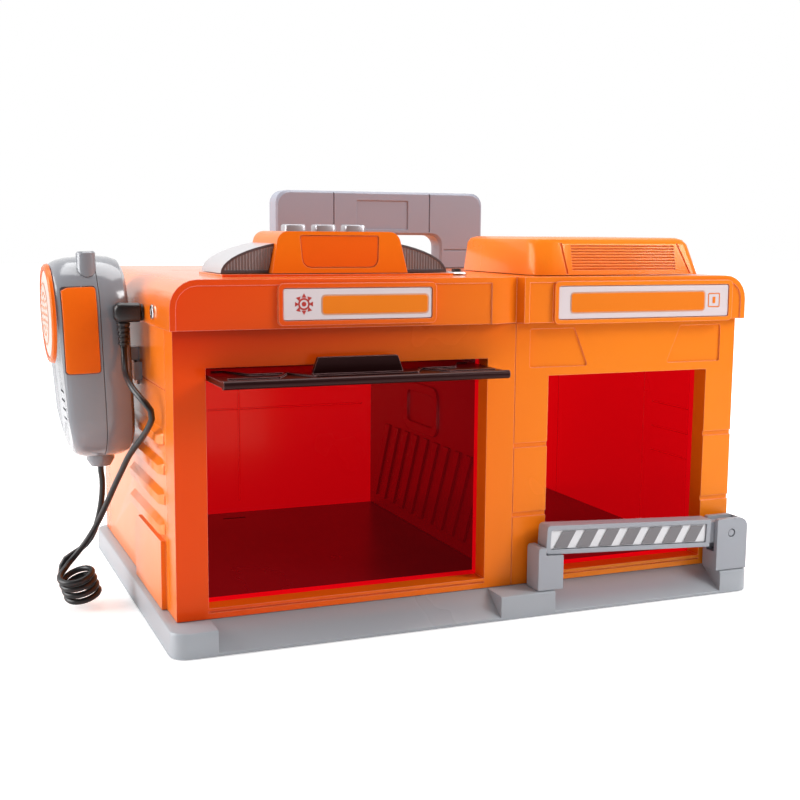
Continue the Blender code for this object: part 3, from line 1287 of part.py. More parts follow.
def carry_handle():
    """The fixed carrying handle, grooved in front, with rounded edges."""
    half = HANDLE_WIDTH / 2
    gap = HANDLE_OPENING_WIDTH / 2
    top = ON_ROOF + HANDLE_HEIGHT
    under = ON_ROOF + HANDLE_OPENING_HEIGHT
    rings = []
    edge = 1.2 * MM
    for inset, y in ((edge, -HANDLE_THICKNESS / 2), (0, -HANDLE_THICKNESS / 2 + edge),
                     (0, HANDLE_THICKNESS / 2 - edge), (edge, HANDLE_THICKNESS / 2)):
        ring = outline((
            (-half + inset, ON_ROOF), (-gap - inset, ON_ROOF),
            (-gap - inset, under + inset, HANDLE_OPENING_CORNER),
            (gap + inset, under + inset, HANDLE_OPENING_CORNER), (gap + inset, ON_ROOF),
            (half - inset, ON_ROOF),
            (half - inset, top - inset, HANDLE_CORNER), (-half + inset, top - inset, HANDLE_CORNER),
        ), 5)
        rings.append([placed("Y", p[0], p[1], HANDLE_Y + y) for p in ring])
    handle = part("carry_handle", lofted(rings), GREY, 0.4)
    join(handle, together([prism(p, "Z", ROOF_TOP - HANDLE_TONGUE_LENGTH, ON_ROOF + 1 * MM)
                           for p in handle_tongues(0)]))
    front = HANDLE_Y - HANDLE_THICKNESS / 2
    line = 0.8 * MM
    bottom = under + HANDLE_OPENING_CORNER
    cuts = [block((x, front - 1 * MM, under + 1.5 * MM), (x + line, front + HANDLE_GROOVE, top - 1 * MM))
            for x in (-30 * MM, 29 * MM)]
    cuts += [block((x, front - 1 * MM, bottom - 15.5 * MM),
                   (x + 22 * MM, front + HANDLE_GROOVE, bottom - 15.5 * MM
                                                            + line)) for x in (-61 * MM, 39 * MM)]
    inset = rectangle(-16 * MM, under + 3 * MM, 16 * MM, top - 5 * MM, 0.8 * MM, 2)
    cuts.append(prism(inset, "Y", front - 1 * MM, front + HANDLE_GROOVE))
    cut(handle, together(cuts))


def power_switch():
    """The bright switch plate on the roof and the knob that slides in its slot."""
    low = ROOF_TOP + FIT
    half_x = SWITCH_WIDTH / 2
    half_y = SWITCH_LENGTH / 2
    rings = []
    for inset, z in ((0, low), (0, low + SWITCH_PLATE / 2), (0.6 * MM, low + SWITCH_PLATE)):
        ring = rectangle(SWITCH_X - half_x + inset, SWITCH_Y - half_y + inset, SWITCH_X + half_x - inset,
                         SWITCH_Y + half_y - inset, 1.6 * MM, 3)
        rings.append([placed("Z", p[0], p[1], z) for p in ring])
    plate = part("power_switch_plate", lofted(rings), STEEL, 0.25, 0.9)
    slot_half = SWITCH_KNOB_WIDTH / 2 + RUNNING / 2
    slot_reach = SWITCH_KNOB_LENGTH / 2 + SWITCH_TRAVEL / 2 + RUNNING / 2
    cut(plate, block((SWITCH_X - slot_half, SWITCH_Y - slot_reach, low - 1 * MM),
                     (SWITCH_X + slot_half, SWITCH_Y + slot_reach, low + 3 * MM)))
    knob_y = SWITCH_Y - SWITCH_TRAVEL / 2
    top = low + SWITCH_PLATE + SWITCH_KNOB_PROUD
    knob = part("power_switch_knob", block(
        (SWITCH_X - SWITCH_KNOB_WIDTH / 2, knob_y - SWITCH_KNOB_LENGTH / 2, ROOF_UNDER),
        (SWITCH_X + SWITCH_KNOB_WIDTH / 2, knob_y + SWITCH_KNOB_LENGTH / 2, top)), BLACK, 0.5)
    ridges = [block((SWITCH_X - SWITCH_KNOB_WIDTH, knob_y + d - 0.25 * MM, top - 0.5 * MM),
                    (SWITCH_X + SWITCH_KNOB_WIDTH, knob_y + d + 0.25 * MM, top + 1 * MM))
              for d in (-1.1 * MM, 0, 1.1 * MM)]
    cut(knob, together(ridges))
    pivoted(knob, Vector((SWITCH_X, knob_y, ROOF_TOP)))


def mic_jack_socket():
    """The handset's socket, with a flange outside the skirt and a barrel through both walls."""
    outer = -ROOF_HALF - FIT - JACK_FLANGE
    inner = outer + JACK_LENGTH
    profile = (
        (JACK_BORE_RADIUS, outer), (JACK_FLANGE_RADIUS, outer), (JACK_FLANGE_RADIUS, outer + JACK_FLANGE),
        (JACK_BARREL_RADIUS, outer + JACK_FLANGE), (JACK_BARREL_RADIUS, inner), (JACK_BORE_RADIUS, inner),
    )
    part("mic_jack_socket", sleeve(profile, "X", JACK_Y, JACK_Z), BLACK, 0.4)


def aux_socket_ring():
    """The second socket on the skirt, with a bright ring."""
    outer = -ROOF_HALF - FIT - 0.6 * MM
    inner = outer + JACK_LENGTH
    barrel = AUX_RADIUS - 0.8 * MM
    profile = (
        (1.7 * MM, outer), (AUX_RADIUS - 0.4 * MM, outer), (AUX_RADIUS, outer + 0.6 * MM),
        (barrel, outer + 0.6 * MM), (barrel, inner), (1.7 * MM, inner),
    )
    part("aux_socket_ring", sleeve(profile, "X", AUX_Y, AUX_Z), STEEL, 0.2, 1.0)


def mic_plug():
    """The right-angle plug's moulded body, with its metal tip and ribbed strain relief."""
    rings = []
    half_y = PLUG_BODY_WIDTH / 2
    half_z = PLUG_BODY_HEIGHT / 2
    end = PLUG_MOUTH_X - FIT - PLUG_BODY_LENGTH
    for shrink, x in ((0.8 * MM, PLUG_MOUTH_X - FIT), (0.2 * MM, PLUG_MOUTH_X - 1.1 * MM),
                      (0.2 * MM, PLUG_MOUTH_X - 3 * MM), (0, end + 3 * MM), (0.4 * MM, end + 1.2 * MM),
                      (1.6 * MM, end)):
        ring = rectangle(JACK_Y - half_y + shrink, JACK_Z - half_z + shrink, JACK_Y + half_y - shrink,
                         JACK_Z + half_z - shrink, 2.6 * MM, 4)
        rings.append([placed("X", p[0], p[1], x) for p in ring])
    plug = part("mic_plug", lofted(rings), BLACK, 0.5)
    cut(plug, prism(circle(JACK_Y, JACK_Z, PLUG_TIP_RADIUS + FIT, 12), "X", PLUG_MOUTH_X - 5 * MM,
                    PLUG_MOUTH_X + 1 * MM))
    tip = turned(((PLUG_TIP_RADIUS, PLUG_MOUTH_X - 4.6 * MM),
                  (PLUG_TIP_RADIUS, PLUG_MOUTH_X + PLUG_TIP_LENGTH - 3 * MM),
                  (PLUG_TIP_RADIUS * 0.65, PLUG_MOUTH_X + PLUG_TIP_LENGTH - 2.4 * MM),
                  (PLUG_TIP_RADIUS * 0.9, PLUG_MOUTH_X + PLUG_TIP_LENGTH - 1.6 * MM),
                  (PLUG_TIP_RADIUS * 0.4, PLUG_MOUTH_X + PLUG_TIP_LENGTH)), "X", JACK_Y, JACK_Z, 12)
    part("plug_tip", tip, STEEL, 0.2, 1.0)
    profile = [(RELIEF_RADIUS, RELIEF_TOP)]
    pitch = RELIEF_LENGTH / RELIEF_RIBS
    for k in range(RELIEF_RIBS):
        radius = RELIEF_RADIUS - (RELIEF_RADIUS - CORD_RADIUS - 0.9 * MM) * (k + 0.5) / RELIEF_RIBS
        top = RELIEF_TOP - k * pitch
        profile.append((radius, top - 0.55 * pitch))
        profile.append((radius - 0.7 * MM, top - 0.6 * pitch))
        profile.append((radius - 0.7 * MM, top - 0.95 * pitch))
        profile.append((radius - 0.1 * MM, top - pitch))
    part("plug_relief", turned(profile, "Z", RELIEF_X, JACK_Y, 12), BLACK, 0.5)


def door_track(name, wall_x, way):
    """A channel on a wall in which the door's roller runs; it opens into the bay."""
    low = DOOR_AXIS_Z - TRACK_HEIGHT / 2
    high = DOOR_AXIS_Z + TRACK_HEIGHT / 2
    back = wall_x + way * FIT
    edges = sorted((back, back + way * TRACK_DEPTH))
    front = DOOR_OPEN_Y - DOOR_RUN - DOOR_ROLLER_RADIUS - 2.5 * MM
    rear = DOOR_OPEN_Y + DOOR_ROLLER_RADIUS + 2.5 * MM
    track = part(name, block((edges[0], front, low), (edges[1], rear, high)), DARK_GREY, 0.5)
    slot_half = DOOR_ROLLER_RADIUS + RUNNING / 2
    inner = sorted((back + way * TRACK_WEB, back + way * (TRACK_DEPTH + 1 * MM)))
    slot_front = DOOR_OPEN_Y - DOOR_RUN - slot_half
    slot = rectangle(slot_front, DOOR_AXIS_Z - slot_half, DOOR_OPEN_Y + slot_half, DOOR_AXIS_Z + slot_half,
                     slot_half * 0.96, 6)
    cut(track, prism(slot, "X", inner[0], inner[1]))


def track_reach():
    """How far the rod's rollers reach into the two tracks."""
    left = -HOUSE_HALF + WALL + FIT + TRACK_WEB + RUNNING
    right = PARTITION_LEFT - FIT - TRACK_WEB - RUNNING
    return left, right


def door_rod():
    """The rod that carries the door, with a roller at each end."""
    left, right = track_reach()
    profile = (
        (DOOR_ROLLER_RADIUS, left), (DOOR_ROLLER_RADIUS, left + DOOR_ROLLER_LENGTH),
        (DOOR_ROD_RADIUS, left + DOOR_ROLLER_LENGTH), (DOOR_ROD_RADIUS, right - DOOR_ROLLER_LENGTH),
        (DOOR_ROLLER_RADIUS, right - DOOR_ROLLER_LENGTH), (DOOR_ROLLER_RADIUS, right),
    )
    rod = part("door_rod", turned(profile, "X", DOOR_OPEN_Y, DOOR_AXIS_Z), STEEL, 0.3, 1.0)
    pivoted(rod, Vector((SERVICE_X, DOOR_OPEN_Y, DOOR_AXIS_Z)))


def door_lines():
    """The raised bars and mirrored zigzag lines on the door's outer face."""
    face = DOOR_AXIS_Z + DOOR_THICKNESS / 2
    low = face - 0.5 * MM
    high = face + DOOR_LINE_PROUD
    edge_y = DOOR_OPEN_Y - DOOR_LENGTH
    half = DOOR_WIDTH / 2
    wide = DOOR_LINE_WIDTH
    bodies = []
    for side in (-1, 1):
        route = (
            (half - 4 * MM, edge_y + 9 * MM), (half - 27 * MM, edge_y + 9 * MM),
            (half - 35 * MM, edge_y + 24 * MM),
            (half - 18 * MM, edge_y + 24 * MM), (half - 10 * MM, edge_y + 40 * MM),
            (half - 4 * MM, edge_y + 40 * MM),
        )
        path = [Vector((SERVICE_X + side * x, y)) for x, y in route]
        strip = []
        for offset in (-wide / 2, wide / 2):
            line = []
            for k, point in enumerate(path):
                before = (point - path[k - 1]).normalized() if k else (path[1] - path[0]).normalized()
                after = (path[k + 1] - point).normalized() if k + 1 < len(path) else before
                across = (before + after).normalized()
                normal = Vector((-across.y, across.x))
                line.append(point + normal * offset / max(0.5, normal.dot(Vector((-after.y, after.x)))))
            strip.append(line)
        bodies.append(prism(strip[0] + strip[1][::-1], "Z", low, high))
        bar_y = edge_y + 58 * MM
        inner = sorted((SERVICE_X + side * 8 * MM, SERVICE_X + side * (half - 8 * MM)))
        for step in (0, 14 * MM):
            bodies.append(block((inner[0], bar_y + step, low), (inner[1], bar_y + step + wide, high)))
    return bodies


def service_door():
    """The door panel: a barrel round the rod, a beaded lower edge, raised lines and a grip."""
    half = DOOR_WIDTH / 2
    left = SERVICE_X - half
    right = SERVICE_X + half
    half_t = DOOR_THICKNESS / 2
    bead_y = DOOR_OPEN_Y - DOOR_LENGTH + DOOR_BEAD_RADIUS
    sheet = rectangle(bead_y, DOOR_AXIS_Z - half_t, DOOR_OPEN_Y, DOOR_AXIS_Z + half_t)
    door = part("service_door", prism(sheet, "X", left, right), BLACK, 0.15, 0.0, 0.3)
    join(door,
         prism(circle(bead_y, DOOR_AXIS_Z, DOOR_BEAD_RADIUS, 12), "X", left - 0.01 * MM, right + 0.01 * MM))
    join(door,
         prism(circle(DOOR_OPEN_Y, DOOR_AXIS_Z, DOOR_BARREL_RADIUS), "X", left - 0.01 * MM,
               right + 0.01 * MM))
    cut(door, prism(circle(DOOR_OPEN_Y, DOOR_AXIS_Z, DOOR_ROD_RADIUS + PIN_CLEARANCE), "X", left - 1 * MM,
                    right + 1 * MM))
    for line in door_lines():
        join(door, line)
    grip_y = DOOR_OPEN_Y - DOOR_LENGTH + DOOR_GRIP_SETBACK
    wide = DOOR_GRIP_WIDTH / 2
    face = DOOR_AXIS_Z + half_t
    grip = outline((
        (SERVICE_X - wide, face - 0.5 * MM), (SERVICE_X + wide, face - 0.5 * MM),
        (SERVICE_X + wide - DOOR_GRIP_SLANT, face + DOOR_GRIP_HEIGHT, 1 * MM),
        (SERVICE_X - wide + DOOR_GRIP_SLANT, face + DOOR_GRIP_HEIGHT, 1 * MM),
    ), 3)
    join(door, prism(grip, "Y", grip_y - DOOR_GRIP_THICKNESS / 2, grip_y + DOOR_GRIP_THICKNESS / 2))
    pivoted(door, Vector((SERVICE_X, DOOR_OPEN_Y, DOOR_AXIS_Z)))


def barrier_post():
    """The gate's post: two cheeks with a slot that is open on the left and on top."""
    right = POST_LEFT + POST_WIDTH
    top = BASE_HEIGHT + FIT + POST_HEIGHT
    section = outline((
        (POST_LEFT, BASE_HEIGHT + FIT), (right, BASE_HEIGHT + FIT), (right, top, POST_ROUND),
        (POST_LEFT, top, 1.2 * MM),
    ), 5)
    post = part("barrier_post", prism(section, "Y", POST_FRONT, POST_FRONT + POST_DEPTH), GREY, 0.4)
    slot_right = right - 3 * MM
    cut(post, block((POST_LEFT - 1 * MM, POST_FRONT + POST_CHEEK, BASE_HEIGHT + POST_SLOT_FLOOR),
                    (slot_right, POST_FRONT + POST_DEPTH - POST_CHEEK, top + 1 * MM)))
    cut(post, prism(circle(PIVOT_X, PIVOT_Z, PIN_RADIUS + FIT), "Y", POST_FRONT - 1 * MM,
                    POST_FRONT + POST_DEPTH + 1 * MM))


def barrier_pivot_pin():
    """The pin through the post and the arm."""
    edge = 0.4 * MM
    front = POST_FRONT + 0.3 * MM
    rear = POST_FRONT + POST_DEPTH - 0.3 * MM
    pin = turned(((PIN_RADIUS - edge, front), (PIN_RADIUS, front + edge), (PIN_RADIUS, rear - edge),
                  (PIN_RADIUS - edge, rear)), "Y", PIVOT_X, PIVOT_Z)
    part("barrier_pivot_pin", pin, STEEL, 0.3, 1.0)


def barrier_arm():
    """The gate arm: a channel with a long recess in front, and a narrow neck at its pivot."""
    pivot = Vector((PIVOT_X, PIVOT_Y, PIVOT_Z))
    low = PIVOT_Z - ARM_HEIGHT / 2
    high = PIVOT_Z + ARM_HEIGHT / 2
    tip = PIVOT_X - ARM_REACH
    shoulder = PIVOT_X - ARM_NECK
    front = PIVOT_Y - ARM_DEPTH / 2
    rear = PIVOT_Y + ARM_DEPTH / 2
    neck_half = POST_DEPTH / 2 - POST_CHEEK - RUNNING / 2
    section = outline(((tip, low, 2 * MM), (shoulder, low), (shoulder, high), (tip, high, 2 * MM)), 4)
    arm = part("barrier_arm", turned_about(prism(section, "Y", front, rear), pivot, ARM_TILT), GREY, 0.4)
    heel = 5.6 * MM
    neck = outline((
        (shoulder - 3 * MM, PIVOT_Z - heel), (PIVOT_X + heel, PIVOT_Z - heel, heel * 0.95),
        (PIVOT_X + heel, PIVOT_Z + heel, heel * 0.95), (shoulder - 3 * MM, PIVOT_Z + heel),
    ), 6)
    join(arm, turned_about(prism(neck, "Y", PIVOT_Y - neck_half, PIVOT_Y + neck_half), pivot, ARM_TILT))
    rim = ARM_RIM
    recess = rectangle(tip + rim, low + rim, shoulder - rim, high - rim, 0.6 * MM, 2)
    cut(arm, turned_about(prism(recess, "Y", front - 1 * MM, front + ARM_RECESS), pivot, ARM_TILT))
    hollow = rectangle(tip + rim, low + rim, shoulder - 4 * MM, high - rim)
    cut(arm, turned_about(prism(hollow, "Y", rear - ARM_BACK_CAVITY, rear + 1 * MM), pivot, ARM_TILT))
    cut(arm, prism(circle(PIVOT_X, PIVOT_Z, PIN_RADIUS + PIN_CLEARANCE), "Y", PIVOT_Y - ARM_DEPTH,
                   PIVOT_Y + ARM_DEPTH))
    pivoted(arm, pivot)
    inset = rim + FIT
    back = front + ARM_RECESS - FIT
    plate = rectangle(tip + inset, low + inset, shoulder - inset, high - inset, 0.5 * MM, 2)
    strip = part("barrier_stripe_plate",
                 turned_about(prism(plate, "Y", back - STRIPE_PLATE, back), pivot, ARM_TILT),
                 PALE_GREY, 0.4)
    stripes = []
    foot = low + inset + 0.4 * MM
    head = high - inset - 0.4 * MM
    middle = (tip + shoulder) / 2 - STRIPE_WIDTH / 2 - STRIPE_LEAN / 2
    for k in range(STRIPE_COUNT):
        x = middle + (k - (STRIPE_COUNT - 1) / 2) * STRIPE_PITCH
        slant = outline(((x, foot), (x + STRIPE_WIDTH, foot), (x + STRIPE_WIDTH + STRIPE_LEAN, head),
                         (x + STRIPE_LEAN, head)))
        stripes.append(prism(slant, "Y", back - STRIPE_PLATE - STRIPE_PROUD, back - STRIPE_PLATE / 2))
    join(strip, turned_about(together(stripes), pivot, ARM_TILT))
    pivoted(strip, pivot)


def barrier_rest_post():
    """The low post that the arm's free end lies on when the gate is shut."""
    tip = PIVOT_X - ARM_REACH
    left = tip - 5 * MM
    right = left + REST_POST_WIDTH
    reach = PIVOT_X - right
    seat = PIVOT_Z + reach * math.sin(ARM_TILT) - ARM_HEIGHT / 2 * math.cos(ARM_TILT) - FIT
    lip = seat + 4 * MM
    slope = (right - tip) * math.tan(ARM_TILT)
    section = outline((
        (left, BASE_HEIGHT + FIT), (right, BASE_HEIGHT + FIT), (right, seat), (tip - 0.8 * MM, seat + slope),
        (tip - 0.8 * MM, lip + slope), (left, lip + slope, 1.5 * MM),
    ), 3)
    part("barrier_rest_post", prism(section, "Y", POST_FRONT, POST_FRONT + POST_DEPTH), GREY, 0.4)


def handset_ring(inset, x):
    """One section of the handset across its depth, whose lower end falls back from the face."""
    half = HANDSET_WIDTH / 2 - inset
    low = HANDSET_BOTTOM + inset
    high = HANDSET_BOTTOM + HANDSET_HEIGHT - inset
    top = HANDSET_TOP_RADIUS - inset
    foot = HANDSET_LOW_RADIUS - inset
    ring = outline((
        (HANDSET_Y - half, low, foot), (HANDSET_Y + half, low, foot),
        (HANDSET_Y + half, high, top), (HANDSET_Y - half, high, top),
    ), 8)
    share = max(0.0, (HANDSET_SEAM_X - x) / HANDSET_FRONT_DEPTH)
    bend_from = FACE_Z - FACE_RING_RADIUS - 1 * MM
    points = []
    for p in ring:
        fall = max(0.0, (bend_from - p[1]) / (bend_from - HANDSET_BOTTOM))
        points.append(placed("X", p[0], p[1], x + share * 6 * MM * fall ** 1.5))
    return points


BACK_SECTIONS = ((10, 0.0), (5, 0.03), (2, 0.16), (0.6, 0.42), (0, 0.75), (0, 1.0))
FRONT_SECTIONS = ((0, 0.0), (0.1, 0.3), (0.5, 0.6), (1.4, 0.82), (2.4, 0.94), (3.6, 1.0))


def handset_back_body(grow):
    """The rear half's solid form, grown or shrunk all round."""
    rings = []
    for inset, share in BACK_SECTIONS:
        x = HANDSET_BACK_X + grow - share * (HANDSET_BACK_DEPTH + grow)
        rings.append(handset_ring(inset * MM - grow, x))
    return rings


def handset_front_body(grow):
    """The front half's solid form, grown or shrunk all round."""
    rings = []
    for inset, share in FRONT_SECTIONS:
        x = HANDSET_SEAM_X - share * (HANDSET_FRONT_DEPTH + grow)
        rings.append(handset_ring(inset * MM - grow, x))
    return rings


def handset_whole(grow):
    """Both halves in one closed body, for hollowing and for trimming what is fixed to them."""
    return lofted(handset_back_body(grow) + handset_front_body(grow)[1:])


def handset_frame():
    """The handset hangs a little away from the wall at its top."""
    return Vector((HANDSET_BACK_X, HANDSET_Y, HANDSET_BOTTOM))


def hung(body):
    """Tilts a body with the handset."""
    return turned_about(body, handset_frame(), -HANDSET_TILT)


def grip_window(side, grow, depth):
    """The box that a side grip takes up, from outside the shell to a depth within it."""
    edge = HANDSET_Y + side * HANDSET_WIDTH / 2
    reach = sorted((edge + side * 4 * MM, edge - side * depth))
    plan = rectangle(GRIP_FRONT_X - grow, GRIP_BOTTOM - grow, GRIP_REAR_X + grow,
                     GRIP_BOTTOM + GRIP_HEIGHT + grow,
                     1.5 * MM, 3)
    return prism(plan, "Y", reach[0], reach[1])


def handset_shells():
    """The handset's two hollow halves, which meet at the seam."""
    back = part("handset_back_shell", hung(lofted(handset_back_body(0))), GREY, 0.3, sharp=50)
    cut(back, hung(handset_whole(-HANDSET_SHELL)))
    rings = handset_front_body(0)
    for point in rings[0]:
        point.x -= FIT
    front = part("handset_front_shell", hung(lofted(rings)), PALE_GREY, 0.3, sharp=50)
    cut(front, hung(handset_whole(-HANDSET_SHELL)))
    for side in (-1, 1):
        cut(front, hung(grip_window(side, FIT, GRIP_THICKNESS + 3 * MM)))
    slots = []
    for row in range(MIC_SLOT_COUNT):
        z = MIC_Z - (row - (MIC_SLOT_COUNT - 1) / 2) * MIC_SLOT_PITCH
        slots.append(block((HANDSET_FACE_X - 1 * MM, HANDSET_Y - MIC_SLOT_LENGTH / 2,
                            z - MIC_SLOT_WIDTH / 2),
                           (HANDSET_FACE_X + 6 * MM, HANDSET_Y + MIC_SLOT_LENGTH / 2,
                            z + MIC_SLOT_WIDTH / 2)))
    cut(front, hung(together(slots)))


def side_grip(name, side):
    """A curved plate that fills a side window flush with the shell's curve."""
    plate = part(name, hung(handset_whole(GRIP_PROUD)), ORANGE, 0.3, sharp=50)
    keep(plate, hung(grip_window(side, 0, GRIP_THICKNESS)))
    cut(plate, hung(handset_whole(GRIP_PROUD - GRIP_THICKNESS)))
    return plate


def handset_grips():
    """The talk button on the near side and the fixed grip on the far side."""
    talk = side_grip("handset_talk_button", -1)
    centre = Vector(((GRIP_REAR_X + GRIP_FRONT_X) / 2, HANDSET_Y - HANDSET_WIDTH / 2,
                     GRIP_BOTTOM + GRIP_HEIGHT / 2))
    pivoted(talk, centre)
    side_grip("handset_side_grip", 1)


def handset_face():
    """The orange ring and the pale disc on the handset's face."""
    seat = HANDSET_FACE_X - FIT
    ring = sleeve((
        (FACE_RING_RADIUS - FACE_RING_BAND, seat), (FACE_RING_RADIUS, seat),
        (FACE_RING_RADIUS - 0.3 * MM, seat - FACE_RING_PROUD * 0.7),
        (FACE_RING_RADIUS - 1 * MM, seat - FACE_RING_PROUD), (FACE_RING_RADIUS - FACE_RING_BAND, seat
                                                              - FACE_RING_PROUD),
    ), "X", HANDSET_Y, FACE_Z, 36)
    part("handset_face_ring", hung(ring), ORANGE, 0.3)
    inner = FACE_RING_RADIUS - FACE_RING_BAND - FIT
    disc = turned(((inner, seat), (inner, seat - FACE_RING_PROUD * 0.8),
                   (inner * 0.75, seat - DISC_PROUD * 0.95),
                   (inner * 0.4, seat - DISC_PROUD)), "X", HANDSET_Y, FACE_Z, 36)
    part("handset_speaker_disc", hung(disc), WHITE, 0.4)


def handset_antenna():
    """The stub at the handset's near top corner, trimmed to the shell."""
    stub = turned(((ANTENNA_RADIUS * 0.8, ANTENNA_BOTTOM), (ANTENNA_RADIUS, ANTENNA_BOTTOM + 2 * MM),
                   (ANTENNA_RADIUS, ANTENNA_TOP - 0.8 * MM), (ANTENNA_RADIUS - 0.8 * MM, ANTENNA_TOP)), "Z",
                  ANTENNA_X, ANTENNA_Y, 16)
    antenna = part("handset_antenna", hung(stub), GREY, 0.3)
    cut(antenna, hung(handset_whole(FIT)))


def handset_cord_boss():
    """The boss at the handset's foot, from which the cord leaves."""
    low = HANDSET_BOTTOM - BOSS_LENGTH
    boss = turned(((BOSS_TIP_RADIUS, low), (BOSS_RADIUS, low + 0.6 * BOSS_LENGTH),
                   (BOSS_RADIUS, low + BOSS_LENGTH
                                                                                    + 3 * MM)),
                  "Z", BOSS_X, HANDSET_Y, 20)
    foot = part("handset_cord_boss", hung(boss), GREY, 0.3)
    cut(foot, hung(handset_whole(FIT)))


def handset_microphone():
    """The microphone capsule behind the slots."""
    front = HANDSET_FACE_X + HANDSET_SHELL + 3.5 * MM
    capsule = turned(((CAPSULE_RADIUS, front), (CAPSULE_RADIUS, front + CAPSULE_LENGTH),
                      (CAPSULE_RADIUS * 0.6, front + CAPSULE_LENGTH)), "X", HANDSET_Y, MIC_Z, 16)
    part("handset_microphone", hung(capsule), STEEL, 0.3, 1.0)


def handset_clip():
    """The belt clip on the handset's back, whose tongue drops behind the wall hook."""
    tongue = clip_tongue_x()
    half = CLIP_WIDTH / 2
    back = tongue - CLIP_THICKNESS
    root = CLIP_TOP - HOOK_TOP - 2 * FIT
    section = outline((
        (tongue, CLIP_BOTTOM), (tongue, CLIP_TOP, 0.6 * MM), (HANDSET_BACK_X - 6 * MM, CLIP_TOP),
        (HANDSET_BACK_X - 6 * MM, CLIP_TOP - root), (back, CLIP_TOP - root), (back, CLIP_BOTTOM),
    ), 3)
    clip = part("handset_clip", prism(section, "Y", CLIP_Y - half, CLIP_Y + half), PALE_GREY, 0.4)
    cut(clip, hung(handset_whole(FIT)))


def handset_hook():
    """The staple on the left wall that the clip hangs on."""
    bar = hook_bar_x()
    inner = CLIP_WIDTH / 2 + RUNNING
    outer = inner + HOOK_LEG
    low = HOOK_TOP - HOOK_HEIGHT
    hook = part("handset_hook",
                block((bar - HOOK_BAR, CLIP_Y - outer, low), (bar, CLIP_Y + outer, HOOK_TOP)),
                PALE_GREY, 0.4)
    for leg in hook_legs(0):
        join(hook, leg)


# The cord's route by hand: down from the plug, back to the slats, out to the coil on the floor
UPPER_ROUTE = (
    (-162.2, -44.0, 122.0), (-162.1, -53.0, 118.2), (-161.1, -60.0, 114.9), (-158.9, -66.0, 111.5),
    (-156.2, -69.2, 108.0), (-154.8, -70.0, 104.6), (-155.0, -68.6, 101.3), (-155.9, -64.0, 97.0),
    (-157.3, -57.0, 91.8), (-161.3, -47.0, 82.6), (-163.7, -38.0, 73.4), (-165.8, -29.0, 64.4),
    (-168.5, -20.0, 53.7), (-170.9, -12.0, 44.5), (-173.8, -6.5, 36.7), (-177.4, -3.0, 29.9),
    (-181.9, -1.9, 24.0),
)
LOWER_ROUTE = (
    (-185.3, 1.3, 7.0), (-188.3, 2.8, 10.9), (-189.0, 3.2, 16.0), (-186.2, 3.1, 21.3),
    (-180.7, 3.0, 24.4), (-175.6, 2.4, 28.6), (-172.4, 1.4, 34.0), (-170.3, 0.0, 40.9),
    (-168.9, -2.0, 48.8), (-168.2, -3.6, 56.5), (-168.3, -4.9, 63.0),
)
POINT_SPACING = 7 * MM

COIL_X = -179.8 * MM
COIL_Y = -11.2 * MM
COIL_FLOOR = 4.9 * MM
COIL_RADIUS = 8 * MM
COIL_PITCH = 3.7 * MM
COIL_TURNS = 3.792
COIL_START = math.radians(135)
COIL_POINTS = 24
COIL_LEAN_X = -0.33
COIL_LEAN_Y = -0.20


def smooth_route(points, spacing):
    """Evenly spaced points on a smooth curve through route points."""
    fine = []
    line = [points[0] * 2 - points[1]] + points + [points[-1] * 2 - points[-2]]
    for k in range(1, len(line) - 2):
        a, b, c, d = line[k - 1:k + 3]
        for step in range(20):
            t = step / 20
            fine.append(0.5 * (2 * b + (c - a) * t + (2 * a - 5 * b + 4 * c - d) * t * t
                               + (3 * b - a - 3 * c + d) * t ** 3))
    fine.append(points[-1])
    lengths = [0.0]
    for before, after in zip(fine, fine[1:]):
        lengths.append(lengths[-1] + (after - before).length)
    count = max(2, round(lengths[-1] / spacing))
    evenly = []
    k = 0
    for index in range(count + 1):
        want = lengths[-1] * index / count
        while k < len(fine) - 2 and lengths[k + 1] < want:
            k += 1
        share = (want - lengths[k]) / (lengths[k + 1] - lengths[k])
        evenly.append(fine[k].lerp(fine[k + 1], min(1.0, share)))
    return evenly


def coil_points():
    """The coil's centre line, from its top turn to its bottom one, with a straight run at each end."""
    up = Vector((COIL_LEAN_X, COIL_LEAN_Y, 1.0)).normalized()
    ahead = (Vector((1, 0, 0)) - up * up.x).normalized()
    across = up.cross(ahead)
    centre = Vector((COIL_X, COIL_Y, COIL_FLOOR))
    rise = COIL_PITCH * COIL_TURNS
    count = round(COIL_TURNS * COIL_POINTS)
    points = []
    for k in range(count + 1):
        angle = COIL_START + 2 * math.pi * COIL_TURNS * k / count
        height = rise * (1 - k / count)
        swing = ahead * math.cos(angle) + across * math.sin(angle)
        points.append(centre + up * height + swing * COIL_RADIUS)
    lead = (points[0] - points[1]).normalized() * 2 * CORD_RADIUS
    tail = (points[-1] - points[-2]).normalized() * 2 * CORD_RADIUS
    return [points[0] + lead] + points + [points[-1] + tail]


def tube(name, points, resolution):
    """A round cord along its points."""
    curve = bpy.data.curves.new(name, "CURVE")
    curve.dimensions = "3D"
    curve.bevel_depth = CORD_RADIUS
    curve.bevel_resolution = resolution
    curve.use_fill_caps = True
    spline = curve.splines.new("POLY")
    spline.points.add(len(points) - 1)
    for slot, point in zip(spline.points, points):
        slot.co = (*point, 1.0)
    curve.materials.append(material(name + "_finish", BLACK, 0.5))
    cord = bpy.data.objects.new(name, curve)
    bpy.context.scene.collection.objects.link(cord)
    length = sum((after - before).length for before, after in zip(points, points[1:]))
    print(name, "length", round(length, 4), "points", len(points))
    return cord


